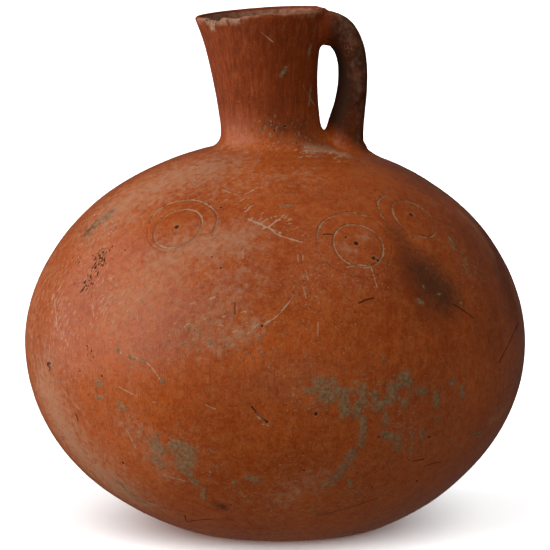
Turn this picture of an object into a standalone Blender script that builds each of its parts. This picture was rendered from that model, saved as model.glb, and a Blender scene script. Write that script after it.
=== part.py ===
"""Terracotta jug: a round body, a leaning neck that pours to one side, and one strap handle.

Fired clay, one piece, hollow and open at the mouth. Metres, +Z up. The origin is in the middle of the foot,
on the surface that the jug stands on. The mouth pours towards -X, the handle is on the +X side, and the
side with the clearest incised circles faces -Y. An azimuth is counted from -Y towards +X, in degrees.
"""

import math

import bmesh
import bpy
from mathutils import Matrix, Vector

# Body: two half ellipsoids that meet at the belly, cut flat by the foot
BELLY_RADIUS = 0.2000
UPPER_DEPTH = 0.1625
LOWER_DEPTH = 0.1600
FOOT_RADIUS = 0.0820
FOOT_SOFTENING = 0.0100
BODY_WALL = 0.0070
FOOT_WALL = 0.0100

# Neck and mouth: the length runs from the end of the shoulder's curve to the rim
NECK_RADIUS = 0.0388
NECK_LENGTH = 0.1073
NECK_WALL = 0.0060
NECK_FILLET_REACH = 0.0150
NECK_FILLET_RISE = 0.0195
RIM_RADIUS = 0.0521
FLARE_POWER = 2.2
LIP_WALL = 0.0050
LIP_ROUNDING = 0.0022
MOUTH_TILT_DEG = 4.0
MOUTH_TILT_REACH = 0.0350

# The hand-built form isn't true: how far its centre strays from the belly's, along X, at each level
FOOT_SHIFT = 0.0040
FOOT_SHIFT_FADE = 0.0450
SHOULDER_SHIFT = 0.0018
SHOULDER_SHIFT_LATITUDE = 62.0
NECK_SHIFT = -0.0035
MOUTH_SHIFT = -0.0112
NECK_LEAN_POWER = 1.6

# Handle: the finger gap beside the neck at a drop from the rim, and the section where it is slimmest
HANDLE_GAP = 0.0163
HANDLE_GAP_DROP = 0.0483
HANDLE_THICKNESS = 0.0228
HANDLE_WIDTH = 0.0340
HANDLE_TOP_DROP = 0.0135
HANDLE_FOOT_INSET = 0.0080
HANDLE_TURN_DEG = 4.0

# Valley pressed down the shoulder between two of the circles, by latitude above the belly
VALLEY_TOP_LATITUDE = 49.7
VALLEY_DEEPEST_LATITUDE = 25.0
VALLEY_END_LATITUDE = 6.5
VALLEY_TOP_AZIMUTH = 36.5
VALLEY_END_AZIMUTH = 42.0
VALLEY_TOP_HALF_WIDTH = 0.0110
VALLEY_END_HALF_WIDTH = 0.0330
VALLEY_DEPTH = 0.0048

# Incised ornament: two circles round a dot, at each azimuth and latitude
CIRCLE_INNER_RADIUS = 0.0200
CIRCLE_OUTER_RADIUS = 0.0300
GROOVE_WIDTH = 0.0028
GROOVE_DEPTH = 0.0016
DOT_RADIUS = 0.0022
DOT_DEPTH = 0.0030
CIRCLE_PLACES = (
    (-29.8, 41.5),
    (23.0, 36.7),
    (47.4, 43.5),
    (104.0, 39.8),
    (157.0, 42.5),
    (-138.0, 39.0),
)

# Damage: a gouge in the left shoulder and two chips in the rim
GOUGE_PLACE = (-64.2, 40.3)
GOUGE_LENGTH = 0.0250
GOUGE_WIDTH = 0.0080
GOUGE_DEPTH = 0.0032
GOUGE_SLANT_DEG = 42.0
RIM_CHIPS = (
    {"azimuth": -47.5, "width": 0.0300, "height": 0.0270, "bite": 0.0048},
    {"azimuth": -26.0, "width": 0.0330, "height": 0.0210, "bite": 0.0030},
)

# Mesh fineness
ROUND_STEPS = 56
FOOT_EDGE_STEPS = 3
LOWER_STEPS = 7
UPPER_STEPS = 11
NECK_FILLET_STEPS = 4
NECK_STEPS = 5
INSIDE_STEPS = 32
INSIDE_LOWER_STEPS = 5
INSIDE_UPPER_STEPS = 6
THROAT_STEPS = 3
HANDLE_SIDES = 14
HANDLE_STEPS = 2
CIRCLE_STEPS = 24
DOT_SIDES = 8
WELD = 1e-6

# Heights that follow from the sizes above
BELLY_HEIGHT = LOWER_DEPTH * math.sqrt(1 - (FOOT_RADIUS / BELLY_RADIUS) ** 2)
NECK_START_RADIUS = NECK_RADIUS + NECK_FILLET_REACH
NECK_START = BELLY_HEIGHT + UPPER_DEPTH * math.sqrt(1 - (NECK_START_RADIUS / BELLY_RADIUS) ** 2)
WAIST_HEIGHT = NECK_START + NECK_FILLET_RISE
RIM_HEIGHT = NECK_START + NECK_LENGTH


def ease(value):
    """0 below 0, 1 above 1, and a smooth step between."""
    t = min(max(value, 0.0), 1.0)
    return t * t * (3 - 2 * t)


def blend(low, high, share):
    return low + (high - low) * share


def heading(azimuth):
    """Unit vector that points straight out of the body at an azimuth."""
    turn = math.radians(azimuth)
    return Vector((math.sin(turn), -math.cos(turn), 0.0))


def shoulder_height(radius):
    """Height of the upper body's outside at a radius."""
    return BELLY_HEIGHT + UPPER_DEPTH * math.sqrt(1 - (radius / BELLY_RADIUS) ** 2)


def neck_radius(height):
    """Outer radius of the neck, which opens towards the rim."""
    share = max(0.0, (height - WAIST_HEIGHT) / (RIM_HEIGHT - WAIST_HEIGHT))
    return blend(NECK_RADIUS, RIM_RADIUS, share**FLARE_POWER)


def latitude(height):
    """Angle of a height above the belly's level, along the body's curve."""
    depth = UPPER_DEPTH if height > BELLY_HEIGHT else LOWER_DEPTH
    return math.degrees(math.asin(min(max((height - BELLY_HEIGHT) / depth, -1.0), 1.0)))


def lean(height):
    """How far the form's centre stands off the belly's centre along X, at a height."""
    foot = FOOT_SHIFT * (1 - ease(height / FOOT_SHIFT_FADE))
    shoulder = SHOULDER_SHIFT * ease(latitude(height) / SHOULDER_SHIFT_LATITUDE)
    share = min(max((height - WAIST_HEIGHT) / (RIM_HEIGHT - WAIST_HEIGHT), 0.0), 1.0)
    settling = 1 - (1 - share) ** NECK_LEAN_POWER
    neck = blend(NECK_SHIFT, MOUTH_SHIFT, settling)
    return foot + blend(shoulder, neck, ease((height - NECK_START) / NECK_FILLET_RISE))


def valley(point):
    """Depth of the pressed valley at a point of the body's skin, before it is moved off centre."""
    level = latitude(point.z)
    share = (VALLEY_TOP_LATITUDE - level) / (VALLEY_TOP_LATITUDE - VALLEY_END_LATITUDE)
    azimuth = blend(VALLEY_TOP_AZIMUTH, VALLEY_END_AZIMUTH, share)
    half_width = blend(VALLEY_TOP_HALF_WIDTH, VALLEY_END_HALF_WIDTH, min(max(share, 0.0), 1.0))
    across = math.atan2(point.x, -point.y) - math.radians(azimuth)
    offset = abs(across) * math.hypot(point.x, point.y)
    if level > VALLEY_DEEPEST_LATITUDE:
        along = (VALLEY_TOP_LATITUDE - level) / (VALLEY_TOP_LATITUDE - VALLEY_DEEPEST_LATITUDE)
    else:
        along = (level - VALLEY_END_LATITUDE) / (VALLEY_DEEPEST_LATITUDE - VALLEY_END_LATITUDE)
    return VALLEY_DEPTH * ease(along) * ease(1 - offset / half_width)


def body_normal(point):
    depth = UPPER_DEPTH if point.z > BELLY_HEIGHT else LOWER_DEPTH
    flat = BELLY_RADIUS**2
    return Vector((point.x / flat, point.y / flat, (point.z - BELLY_HEIGHT) / depth**2)).normalized()


def on_body(place, across, up, lift):
    """Point on the shoulder's skin, from an (azimuth, latitude) place and a flat offset there."""
    azimuth, level = place
    middle = Vector((0, 0, BELLY_HEIGHT))
    climb = math.radians(level)
    centre = heading(azimuth) * BELLY_RADIUS * math.cos(climb)
    centre.z = BELLY_HEIGHT + UPPER_DEPTH * math.sin(climb)
    right = heading(azimuth + 90)
    rise = body_normal(centre).cross(right)
    out = centre + right * across + rise * up - middle
    skin = middle + out / math.hypot(out.x / BELLY_RADIUS, out.y / BELLY_RADIUS, out.z / UPPER_DEPTH)
    placed = skin + body_normal(skin) * (lift - valley(skin))
    placed.x += lean(skin.z)
    return placed


def bezier(points, steps):
    """Points along a cubic curve, without its first one."""
    a, b, c, d = (Vector(p) for p in points)
    found = []
    for step in range(1, steps + 1):
        t = step / steps
        s = 1 - t
        found.append(tuple(a * s**3 + b * 3 * s * s * t + c * 3 * s * t * t + d * t**3))
    return found


def ellipse_run(radius, depth, start_radius, end_radius, steps):
    """Points of a quarter ellipse between two radii, by even turns, without its first one."""
    start = math.acos(min(1.0, start_radius / radius))
    end = math.acos(min(1.0, end_radius / radius))
    found = []
    for step in range(1, steps + 1):
        turn = blend(start, end, step / steps)
        found.append((radius * math.cos(turn), BELLY_HEIGHT + depth * math.sin(turn)))
    return found


def outer_profile():
    """Half outline of the outside from the foot's centre to the middle of the mouth, as (radius, height)."""
    foot_edge = FOOT_RADIUS + FOOT_SOFTENING
    above_foot = BELLY_HEIGHT - LOWER_DEPTH * math.sqrt(1 - (foot_edge / BELLY_RADIUS) ** 2)
    flat_edge = (FOOT_RADIUS - FOOT_SOFTENING, 0.0)
    points = [(0.0, 0.0), (flat_edge[0] / 2, 0.0), flat_edge]
    corner = (FOOT_RADIUS, 0.0)
    points += bezier((flat_edge, corner, corner, (foot_edge, above_foot)), FOOT_EDGE_STEPS)
    points += ellipse_run(BELLY_RADIUS, -LOWER_DEPTH, foot_edge, BELLY_RADIUS, LOWER_STEPS)
    points += ellipse_run(BELLY_RADIUS, UPPER_DEPTH, BELLY_RADIUS, NECK_START_RADIUS, UPPER_STEPS)
    start = points[-1]
    slope = (points[-2][1] - start[1]) / (points[-2][0] - start[0])
    run = NECK_FILLET_REACH / 2
    inward = (start[0] - run, start[1] - slope * run)
    below_waist = (NECK_RADIUS, WAIST_HEIGHT - NECK_FILLET_RISE / 2)
    points += bezier((start, inward, below_waist, (NECK_RADIUS, WAIST_HEIGHT)), NECK_FILLET_STEPS)
    lip_start = RIM_HEIGHT - LIP_ROUNDING
    for step in range(1, NECK_STEPS + 1):
        height = blend(WAIST_HEIGHT, lip_start, step / NECK_STEPS)
        points.append((neck_radius(height), height))
    outer = neck_radius(lip_start)
    for turn in (45, 90):
        out = outer - LIP_ROUNDING * (1 - math.cos(math.radians(turn)))
        points.append((out, lip_start + LIP_ROUNDING * math.sin(math.radians(turn))))
    points.append((0.0, RIM_HEIGHT))
    return points


def inner_profile():
    """Half outline of the hollow, from its lowest point to a lid just above the mouth."""
    radius = BELLY_RADIUS - BODY_WALL
    depth = LOWER_DEPTH - BODY_WALL
    floor_radius = radius * math.sqrt(1 - ((BELLY_HEIGHT - FOOT_WALL) / depth) ** 2)
    wall_start = floor_radius + FOOT_SOFTENING
    above_floor = BELLY_HEIGHT - depth * math.sqrt(1 - (wall_start / radius) ** 2)
    points = [(0.0, FOOT_WALL), (floor_radius - FOOT_SOFTENING, FOOT_WALL), (wall_start, above_floor)]
    points += ellipse_run(radius, -depth, wall_start, radius, INSIDE_LOWER_STEPS)
    throat = NECK_RADIUS - NECK_WALL
    shoulder_end = throat + NECK_FILLET_REACH
    points += ellipse_run(radius, UPPER_DEPTH - BODY_WALL, radius, shoulder_end, INSIDE_UPPER_STEPS)
    start = points[-1]
    corner = (throat, start[1])
    points += bezier((start, corner, corner, (throat, WAIST_HEIGHT)), THROAT_STEPS)
    lip_start = RIM_HEIGHT - LIP_ROUNDING
    for step in range(1, NECK_STEPS):
        share = step / (NECK_STEPS - 1)
        height = blend(WAIST_HEIGHT, lip_start, share)
        points.append((neck_radius(height) - blend(NECK_WALL, LIP_WALL, share), height))
    above = RIM_HEIGHT + LIP_ROUNDING
    points += [(points[-1][0] + LIP_ROUNDING, above), (0.0, above)]
    return points


def turned(profile, steps):
    """A closed form turned from a half outline that starts and ends on the axis."""
    form = bmesh.new()
    corners = [form.verts.new((radius, 0.0, height)) for radius, height in profile]
    edges = [form.edges.new(pair) for pair in zip(corners, corners[1:])]
    bmesh.ops.spin(
        form,
        geom=corners + edges,
        cent=(0, 0, 0),
        axis=(0, 0, 1),
        angle=math.tau,
        steps=steps,
        use_merge=True,
    )
    bmesh.ops.remove_doubles(form, verts=form.verts, dist=WELD)
    return form


def refine_valley(form):
    """Finer faces where the valley is pressed in, so that it keeps its shape."""
    edges = set()
    for face in form.faces:
        middle = face.calc_center_median()
        if math.hypot(middle.x, middle.y) > RIM_RADIUS and reaches_valley(middle):
            edges.update(face.edges)
    bmesh.ops.subdivide_edges(form, edges=list(edges), cuts=1, use_grid_fill=True)


def reaches_valley(point):
    spread = BELLY_RADIUS * math.pi / ROUND_STEPS
    side = heading(VALLEY_TOP_AZIMUTH + 90)
    return any(valley(point + side * shift) > 0 for shift in (-spread, 0.0, spread))


def press_and_lean(form):
    """Presses the valley into the wall, leans the neck and tips the mouth."""
    tip_start = RIM_HEIGHT - MOUTH_TILT_REACH
    slope = math.tan(math.radians(MOUTH_TILT_DEG))
    for corner in form.verts:
        point = corner.co
        if math.hypot(point.x, point.y) > RIM_RADIUS:
            point -= body_normal(point) * valley(point)
        tipped = ease((point.z - tip_start) / (RIM_HEIGHT - tip_start))
        point.z, point.x = point.z + slope * point.x * tipped, point.x + lean(point.z)


def finished(form, name):
    """Turns a form into an object with its faces pointing out."""
    bmesh.ops.recalc_face_normals(form, faces=form.faces)
    bmesh.ops.triangulate(form, faces=form.faces)
    mesh = bpy.data.meshes.new(name)
    form.to_mesh(mesh)
    form.free()
    made = bpy.data.objects.new(name, mesh)
    bpy.context.scene.collection.objects.link(made)
    return made


def as_guide(made):
    made.hide_render = True
    made.display_type = "WIRE"
    return made


def neck_side(height):
    """How far out the neck's wall stands on the handle's side."""
    return neck_radius(height) + lean(height)


def handle_stations():
    """Centre, thickness and width of the handle at stations from its root in the neck to below the shoulder."""
    top = RIM_HEIGHT - HANDLE_TOP_DROP
    root = neck_side(top) - NECK_WALL / 2
    reach = neck_side(RIM_HEIGHT - HANDLE_GAP_DROP) + HANDLE_GAP + HANDLE_THICKNESS / 2
    foot = reach - HANDLE_FOOT_INSET
    bottom = shoulder_height(foot)
    upper_run = (
        (-0.30, 0.000, 1.20, 1.22),
        (0.00, 0.000, 1.20, 1.22),
        (0.27, 0.005, 1.20, 1.18),
        (0.62, 0.050, 1.12, 1.08),
        (0.87, 0.155, 1.03, 1.00),
        (0.99, 0.295, 0.99, 1.00),
        (1.00, 0.470, 1.01, 1.00),
    )
    lower_run = (
        (0.74, 0.640, 1.08, 1.04),
        (0.35, 0.800, 1.22, 1.14),
        (0.08, 0.930, 1.38, 1.30),
        (0.08, 1.015, 1.64, 1.50),
        (0.08, 1.060, 2.16, 1.74),
        (0.08, 1.110, 2.80, 2.00),
    )
    found = []
    for side, run in ((root, upper_run), (foot, lower_run)):
        for out, down, thick, wide in run:
            centre = Vector((blend(side, reach, out), 0.0, blend(top, bottom, down)))
            section = Vector((HANDLE_THICKNESS * thick, HANDLE_WIDTH * wide, 0.0))
            found.append((centre, section))
    return found


def between(stations, steps):
    """Smooth points through the stations, with their sections."""
    found = []
    for index in range(len(stations) - 1):
        four = [stations[min(max(index + k, 0), len(stations) - 1)] for k in (-1, 0, 1, 2)]
        p0, p1, p2, p3 = (station[0] for station in four)
        for step in range(steps):
            t = step / steps
            point = p1 * 2 + (p2 - p0) * t + (p0 * 2 - p1 * 5 + p2 * 4 - p3) * t**2
            point += (p1 * 3 - p0 - p2 * 3 + p3) * t**3
            found.append((point / 2, four[1][1].lerp(four[2][1], t)))
    return found + [stations[-1]]


def make_handle_form():
    """Oval strap swept from the neck to the shoulder, wider at both roots."""
    path = between(handle_stations(), HANDLE_STEPS)
    form = bmesh.new()
    rings = []
    for index, (centre, section) in enumerate(path):
        ahead = path[min(index + 1, len(path) - 1)][0]
        behind = path[max(index - 1, 0)][0]
        along = (ahead - behind).normalized()
        across = Vector((0, 1, 0))
        outward = across.cross(along)
        place = Matrix((outward, across, along)).transposed().to_4x4()
        place.translation = centre
        oval = Matrix.Diagonal((section.x / 2, section.y / 2, 1, 1))
        is_end = index in (0, len(path) - 1)
        ring = bmesh.ops.create_circle(
            form,
            cap_ends=is_end,
            segments=HANDLE_SIDES,
            radius=1.0,
            matrix=place @ oval,
        )
        ring_corners = set(ring["verts"])
        rings.append([edge for edge in form.edges if ring_corners.issuperset(edge.verts)])
    for near, far in zip(rings, rings[1:]):
        bmesh.ops.bridge_loops(form, edges=near + far)
    turn = Matrix.Rotation(math.radians(HANDLE_TURN_DEG), 4, "Z")
    bmesh.ops.transform(form, matrix=turn, verts=form.verts)
    return as_guide(finished(form, "handle_form"))


def add_ring(form, place, radius):
    """Ring of V section laid on the body, point down, which cuts one circle."""
    above = GROOVE_DEPTH
    half_top = GROOVE_WIDTH / 2 * (GROOVE_DEPTH + above) / GROOVE_DEPTH
    section = ((radius, -GROOVE_DEPTH), (radius + half_top, above), (radius - half_top, above))
    corners = [form.verts.new((out, 0, up)) for out, up in section]
    edges = [form.edges.new((corners[k - 1], corners[k])) for k in range(len(corners))]
    bmesh.ops.spin(
        form,
        geom=corners + edges,
        cent=(0, 0, 0),
        axis=(0, 0, 1),
        angle=math.tau,
        steps=CIRCLE_STEPS,
        use_merge=True,
    )
    lay_on_body(form, place)


def add_dot(form, place):
    """Cone laid point down on the body, which cuts a circle's centre mark."""
    above = DOT_RADIUS
    bmesh.ops.create_cone(
        form,
        cap_ends=True,
        segments=DOT_SIDES,
        radius1=0.0,
        radius2=DOT_RADIUS * (DOT_DEPTH + above) / DOT_DEPTH,
        depth=DOT_DEPTH + above,
        matrix=Matrix.Translation((0, 0, (above - DOT_DEPTH) / 2)),
    )
    lay_on_body(form, place)


def lay_on_body(form, place):
    """Bends what was last modelled flat at the origin onto the body, and marks it as placed."""
    placed = form.verts.layers.int.get("placed") or form.verts.layers.int.new("placed")
    for corner in form.verts:
        if corner[placed]:
            continue
        flat = corner.co.copy()
        corner.co = on_body(place, flat.x, flat.y, flat.z)
        corner[placed] = 1


def add_gouge(form):
    """Long shallow bowl in the left shoulder."""
    slant = Matrix.Rotation(math.radians(GOUGE_SLANT_DEG), 4, "Z")
    sizes = Matrix.Diagonal((GOUGE_LENGTH / 2, GOUGE_WIDTH / 2, GOUGE_DEPTH, 1))
    bmesh.ops.create_icosphere(form, subdivisions=2, radius=1.0, matrix=slant @ sizes)
    lay_on_body(form, GOUGE_PLACE)


def add_rim_chip(form, chip):
    """Rough lens that bites the outer edge of the rim, its own width, height and bite."""
    out = heading(chip["azimuth"])
    lens_depth = chip["width"] / 2
    centre = out * (RIM_RADIUS - chip["bite"] + lens_depth)
    slope = math.tan(math.radians(MOUTH_TILT_DEG))
    centre.z = RIM_HEIGHT + slope * centre.x
    centre.x += lean(RIM_HEIGHT)
    side = Vector((0, 0, 1)).cross(out)
    place = Matrix((side, out, Vector((0, 0, 1)))).transposed().to_4x4()
    place.translation = centre
    sizes = Matrix.Diagonal((chip["width"] / 2, lens_depth, chip["height"] / 2, 1))
    bmesh.ops.create_icosphere(form, subdivisions=2, radius=1.0, matrix=place @ sizes)
    placed = form.verts.layers.int.get("placed")
    for corner in form.verts:
        corner[placed] = 1


def make_marks():
    """All circles, dots and damage in one cutter."""
    form = bmesh.new()
    form.verts.layers.int.new("placed")
    for place in CIRCLE_PLACES:
        add_ring(form, place, CIRCLE_INNER_RADIUS)
        add_ring(form, place, CIRCLE_OUTER_RADIUS)
        add_dot(form, place)
    add_gouge(form)
    for chip in RIM_CHIPS:
        add_rim_chip(form, chip)
    return as_guide(finished(form, "incised_and_chipped"))


def make_hollow():
    form = turned(inner_profile(), INSIDE_STEPS)
    refine_valley(form)
    press_and_lean(form)
    return as_guide(finished(form, "hollow_form"))


def from_hex(colour):
    """Linear colour of an sRGB hex value."""
    found = []
    for start in (0, 2, 4):
        value = int(colour[start : start + 2], 16) / 255
        found.append(value / 12.92 if value <= 0.04045 else ((value + 0.055) / 1.055) ** 2.4)
    return (*found, 1.0)


def burnished_terracotta():
    material = bpy.data.materials.new("burnished terracotta")
    material.use_nodes = True
    shader = material.node_tree.nodes["Principled BSDF"]
    shader.inputs["Base Color"].default_value = from_hex("A65A30")
    shader.inputs["Roughness"].default_value = 0.45
    shader.inputs["Metallic"].default_value = 0.0
    return material


def combine(jug, operation, other):
    modifier = jug.modifiers.new(other.name, "BOOLEAN")
    modifier.operation = operation
    modifier.solver = "EXACT"
    modifier.object = other


def make_jug():
    form = turned(outer_profile(), ROUND_STEPS)
    refine_valley(form)
    press_and_lean(form)
    jug = finished(form, "jug")
    jug.data.shade_smooth()
    jug.data.materials.append(burnished_terracotta())
    combine(jug, "UNION", make_handle_form())
    combine(jug, "DIFFERENCE", make_hollow())
    combine(jug, "DIFFERENCE", make_marks())


def main():
    for old in list(bpy.data.objects):
        bpy.data.objects.remove(old)
    make_jug()


main()
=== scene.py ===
"""Terracotta jug with its real surface: burnished clay, incised circles, pits, lime crusts and smoke stains.

Metres, +Z up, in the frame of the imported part. The mouth pours towards -X, the handle is on the +X side and
the clearest circles face -Y. An azimuth is counted from -Y towards +X, in degrees.
"""

import math

import bmesh
import bpy
import numpy as np
from mathutils import Matrix, Vector, kdtree, noise
from mathutils.bvhtree import BVHTree


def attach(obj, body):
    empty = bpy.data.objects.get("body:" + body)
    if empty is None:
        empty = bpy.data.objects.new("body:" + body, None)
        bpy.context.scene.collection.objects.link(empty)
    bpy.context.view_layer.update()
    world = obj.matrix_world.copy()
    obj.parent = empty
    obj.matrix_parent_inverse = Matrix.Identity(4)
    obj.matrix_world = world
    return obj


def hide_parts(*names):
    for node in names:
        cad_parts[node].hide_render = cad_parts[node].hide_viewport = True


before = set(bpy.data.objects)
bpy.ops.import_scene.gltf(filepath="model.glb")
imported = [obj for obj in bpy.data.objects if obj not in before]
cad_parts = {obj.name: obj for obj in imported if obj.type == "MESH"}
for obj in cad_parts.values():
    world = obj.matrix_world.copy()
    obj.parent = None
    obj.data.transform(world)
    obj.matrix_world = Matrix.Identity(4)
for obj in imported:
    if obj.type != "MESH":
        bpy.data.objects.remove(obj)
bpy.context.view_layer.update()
MM = 0.001

# What a face belongs to, until the marks are laid on
WALL, HANDLE, BROKEN = 0, 1, 2

# Body: two half ellipsoids that meet at the belly, cut flat by the foot
BELLY_RADIUS = 0.2000
UPPER_DEPTH = 0.1625
LOWER_DEPTH = 0.1600
FOOT_RADIUS = 0.0820
FOOT_SOFTENING = 0.0100
BODY_WALL = 0.0070
FOOT_WALL = 0.0100

# Neck and mouth
NECK_RADIUS = 0.0398
NECK_LENGTH = 0.1088
NECK_WALL = 0.0060
NECK_FILLET_REACH = 0.0150
NECK_FILLET_RISE = 0.0195
RIM_RADIUS = 0.0532
FLARE_POWER = 2.2
LIP_WALL = 0.0050
MOUTH_SLOPE = math.tan(math.radians(4.0))
MOUTH_TILT_REACH = 0.0350

# How far the hand-built form's centre strays along X at each level
FOOT_SHIFT = 0.0040
FOOT_SHIFT_FADE = 0.0450
SHOULDER_SHIFT = 0.0018
SHOULDER_SHIFT_LATITUDE = 62.0
NECK_SHIFT = -0.0035
MOUTH_SHIFT = -0.0112
NECK_LEAN_POWER = 1.6

# Handle. Its runs go from the neck out, and back in to the shoulder. Each station says how far out it is (0
# on the wall, 1 at the full reach), how far down (0 at the top, 1 on the shoulder), and its shares of
# thickness and width.
HANDLE_GAP = 0.0163
HANDLE_GAP_DROP = 0.0498
HANDLE_THICKNESS = 0.0236
HANDLE_WIDTH = 0.0340
HANDLE_TOP_DROP = 0.0130
HANDLE_FOOT_INSET = 0.0080
HANDLE_TURN_DEG = 4.0
HANDLE_UPPER_RUN = (
    (-0.60, 0.000, 1.20, 1.22),
    (0.00, 0.000, 1.20, 1.22),
    (0.27, 0.005, 1.20, 1.18),
    (0.62, 0.050, 1.12, 1.08),
    (0.87, 0.155, 1.03, 1.00),
    (0.99, 0.295, 0.99, 1.00),
    (1.00, 0.470, 1.01, 1.00),
)
HANDLE_LOWER_RUN = (
    (0.74, 0.640, 1.08, 1.04),
    (0.35, 0.800, 1.22, 1.14),
    (0.08, 0.930, 1.38, 1.30),
    (0.08, 1.015, 1.64, 1.50),
    (0.08, 1.060, 2.16, 1.74),
    (0.08, 1.110, 2.80, 2.00),
    (0.08, 1.240, 2.80, 2.00),
)

# Valley pressed down the shoulder between two of the circles, by latitude above the belly
VALLEY_TOP_LATITUDE = 49.7
VALLEY_DEEPEST_LATITUDE = 25.0
VALLEY_END_LATITUDE = 6.5
VALLEY_TOP_AZIMUTH = 36.5
VALLEY_END_AZIMUTH = 42.0
VALLEY_TOP_HALF_WIDTH = 0.0110
VALLEY_END_HALF_WIDTH = 0.0330
VALLEY_DEPTH = 0.0048

# Heights that follow from the sizes above
BELLY_HEIGHT = LOWER_DEPTH * math.sqrt(1 - (FOOT_RADIUS / BELLY_RADIUS) ** 2)
NECK_START_RADIUS = NECK_RADIUS + NECK_FILLET_REACH
NECK_START = BELLY_HEIGHT + UPPER_DEPTH * math.sqrt(1 - (NECK_START_RADIUS / BELLY_RADIUS) ** 2)
WAIST_HEIGHT = NECK_START + NECK_FILLET_RISE
RIM_HEIGHT = NECK_START + NECK_LENGTH
LIP_START = RIM_HEIGHT - LIP_WALL / 2
BODY_MIDDLE = np.array((0.0, 0.0, BELLY_HEIGHT))

# How finely the forms are divided: steps round them, and points along each run of the outlines
WALL_STEPS = 168
PLUG_STEPS = 96
HANDLE_SIDES = 44
HANDLE_STEPS = 6
LUMP_SUBDIVISIONS = 4
FOOT_SHARES = (0.0, 0.25, 0.5, 0.75, 0.9, 1.0)
OUTSIDE_POINTS = {"foot edge": 6, "lower": 32, "upper": 42, "fillet": 9, "neck": 17}
INSIDE_POINTS = {"neck": 10, "throat": 5, "upper": 16, "lower": 10}
LIP_POINTS = 8

# Chips bitten out of the rim: turn about the mouth, drop below the rim, half sizes along, out and up, and
# bite, in degrees and mm. The lumps that bite are roughened by noise of two sizes.
CHIPS = (
    (-49.5, 1.0, (7.5, 9.0, 10.5), 4.9),
    (-37.0, -1.5, (6.0, 8.0, 7.5), 4.6),
    (-24.0, -0.5, (9.0, 8.0, 6.5), 3.0),
    (17.0, -1.2, (1.8, 2.6, 2.2), 1.6),
    (-44.0, 0.0, (4.6, 13.0, 4.4), 13.0),
    (-51.0, 0.0, (6.0, 13.0, 2.4), 13.0),
    (-26.0, 0.0, (10.0, 13.0, 1.5), 13.0),
)
LUMP_ROUGHNESS = {"size": 4.2, "height": 1.3, "fine size": 1.3, "fine height": 0.35, "next lump": 7}

# Seam of the handle: finest edge in mm, its growth, rounds and reach in mm; then smoothing by reach in mm
# and times
SEAM_REFINING = (1.9, 0.35, 2, 14)
SEAM_SMOOTHING = ((9.0, 6), (6.0, 8), (3.5, 8))

# Skin, in mm: waves of the hand-built form and roughness of a break, by size and height. Then how far up
# from the foot and out from the seam the skin lies still, and over what reach that ends, and the same for
# the handle's painted shadow.
WAVES = ((62, 0.55, (0, 0, 0)), (21, 0.16, (3, 1, 7)))
BREAK_ROUGHNESS = (2.3, 0.35)
FOOT_STILL = (2, 8)
SEAM_STILL = (12, 6)
SEAM_FADE = (1, 14)

# How deep in the wall the raw inside starts, as shares of the wall
INNER_BODY = 0.4
INNER_NECK = 0.45
INNER_LIP = 0.3

# Marks: their kinds, those with soft edges, and how finely the mesh is cut for them (edge in mm, rounds)
# The worn, smoke and flush kinds carry painted light and shade as well as real marks
KINDS = ("groove", "pit", "lime", "worn", "smoke", "flush", "hatched", "specked", "scratch", "crack")
SOFT_KINDS = ("worn", "smoke", "flush", "hatched", "specked")
REFINING = (
    (("lime",), 2.4, 2),
    (("groove",), 1.0, 4),
    (("scratch", "crack", "pit"), 0.85, 4),
)
REFINING_GROWTH = 1.0
REFINING_START = 1.6
REFINING_REACH = 6
NEAREST_POINTS = 6
PRESSED_REACH = 1.25

# Incised circles, each a double ring round a dot, by azimuth and latitude. A ring has its middle and radius
# in mm on the skin, and the turns between which it shows, in degrees from the right over the top. The first
# three show in the photo, where their outer rings and dots are strokes of their own. The others are
# guessed.
GROOVE_HALF_WIDTH = 1.0
GROOVE_DEPTH = 0.55
DOT_REACH = 2.0
DOT_DEPTH = 1.7
WHOLE_RING = (GROOVE_HALF_WIDTH, 1, GROOVE_DEPTH)
FAINT_RING = (0.8 * GROOVE_HALF_WIDTH, 0.35, 0.4 * GROOVE_DEPTH)
DOT = (DOT_REACH, 1, DOT_DEPTH)
DOT_RING = (0, 0, 0.1, 0, 1)
RING_STEP_DEG = 1.2
CIRCLES = {
    "front left": (-29.8, 41.5, (-1.8, 0.4, 19.8, 0, 360)),
    "front": (23.0, 36.7, (0, 0, 20.2, 0, 360)),
    "front right": (47.4, 43.5, (0, 0, 20.0, 0, 360)),
    "handle side": (104.0, 39.8, (0, 0, 20.1, 0, 360), (-1.5, 0.8, 29.5, 20, 318)),
    "back": (157.0, 42.5, (0, 0, 19.8, 0, 360), (1.0, 1.4, 29.0, -60, 200)),
    "back left": (-138.0, 39.0, (0, 0, 20.3, 0, 360), (0.6, -1.0, 30.2, 80, 380)),
}

# Marks on the sides that the photo does not show: how many of each kind, and their length, half width and
# depth in mm; then where they may lie (azimuth in degrees, latitude in radians) and how much they vary in
# size and bend
HIDDEN_MARKS_SEED = 11
HIDDEN_MARKS = {
    "pit": (26, 0, 1.1, 0.8),
    "lime": (22, 9, 2.6, 0),
    "scratch": (14, 14, 0.5, 0),
    "crack": (7, 16, 0.6, 0.4),
    "smoke": (3, 26, 9, 0),
    "worn": (7, 30, 24, 0),
    "hatched": (9, 60, 40, 0),
    "specked": (6, 50, 30, 0),
}
HIDDEN_AZIMUTHS = (97, 263)
HIDDEN_LATITUDES = (-0.85, 0.95)
HIDDEN_SIZES = (0.5, 1.3)
HIDDEN_BEND = 0.15
HIDDEN_SOFT_STRENGTH = 0.5
HIDDEN_SPACING = 0.8

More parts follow.
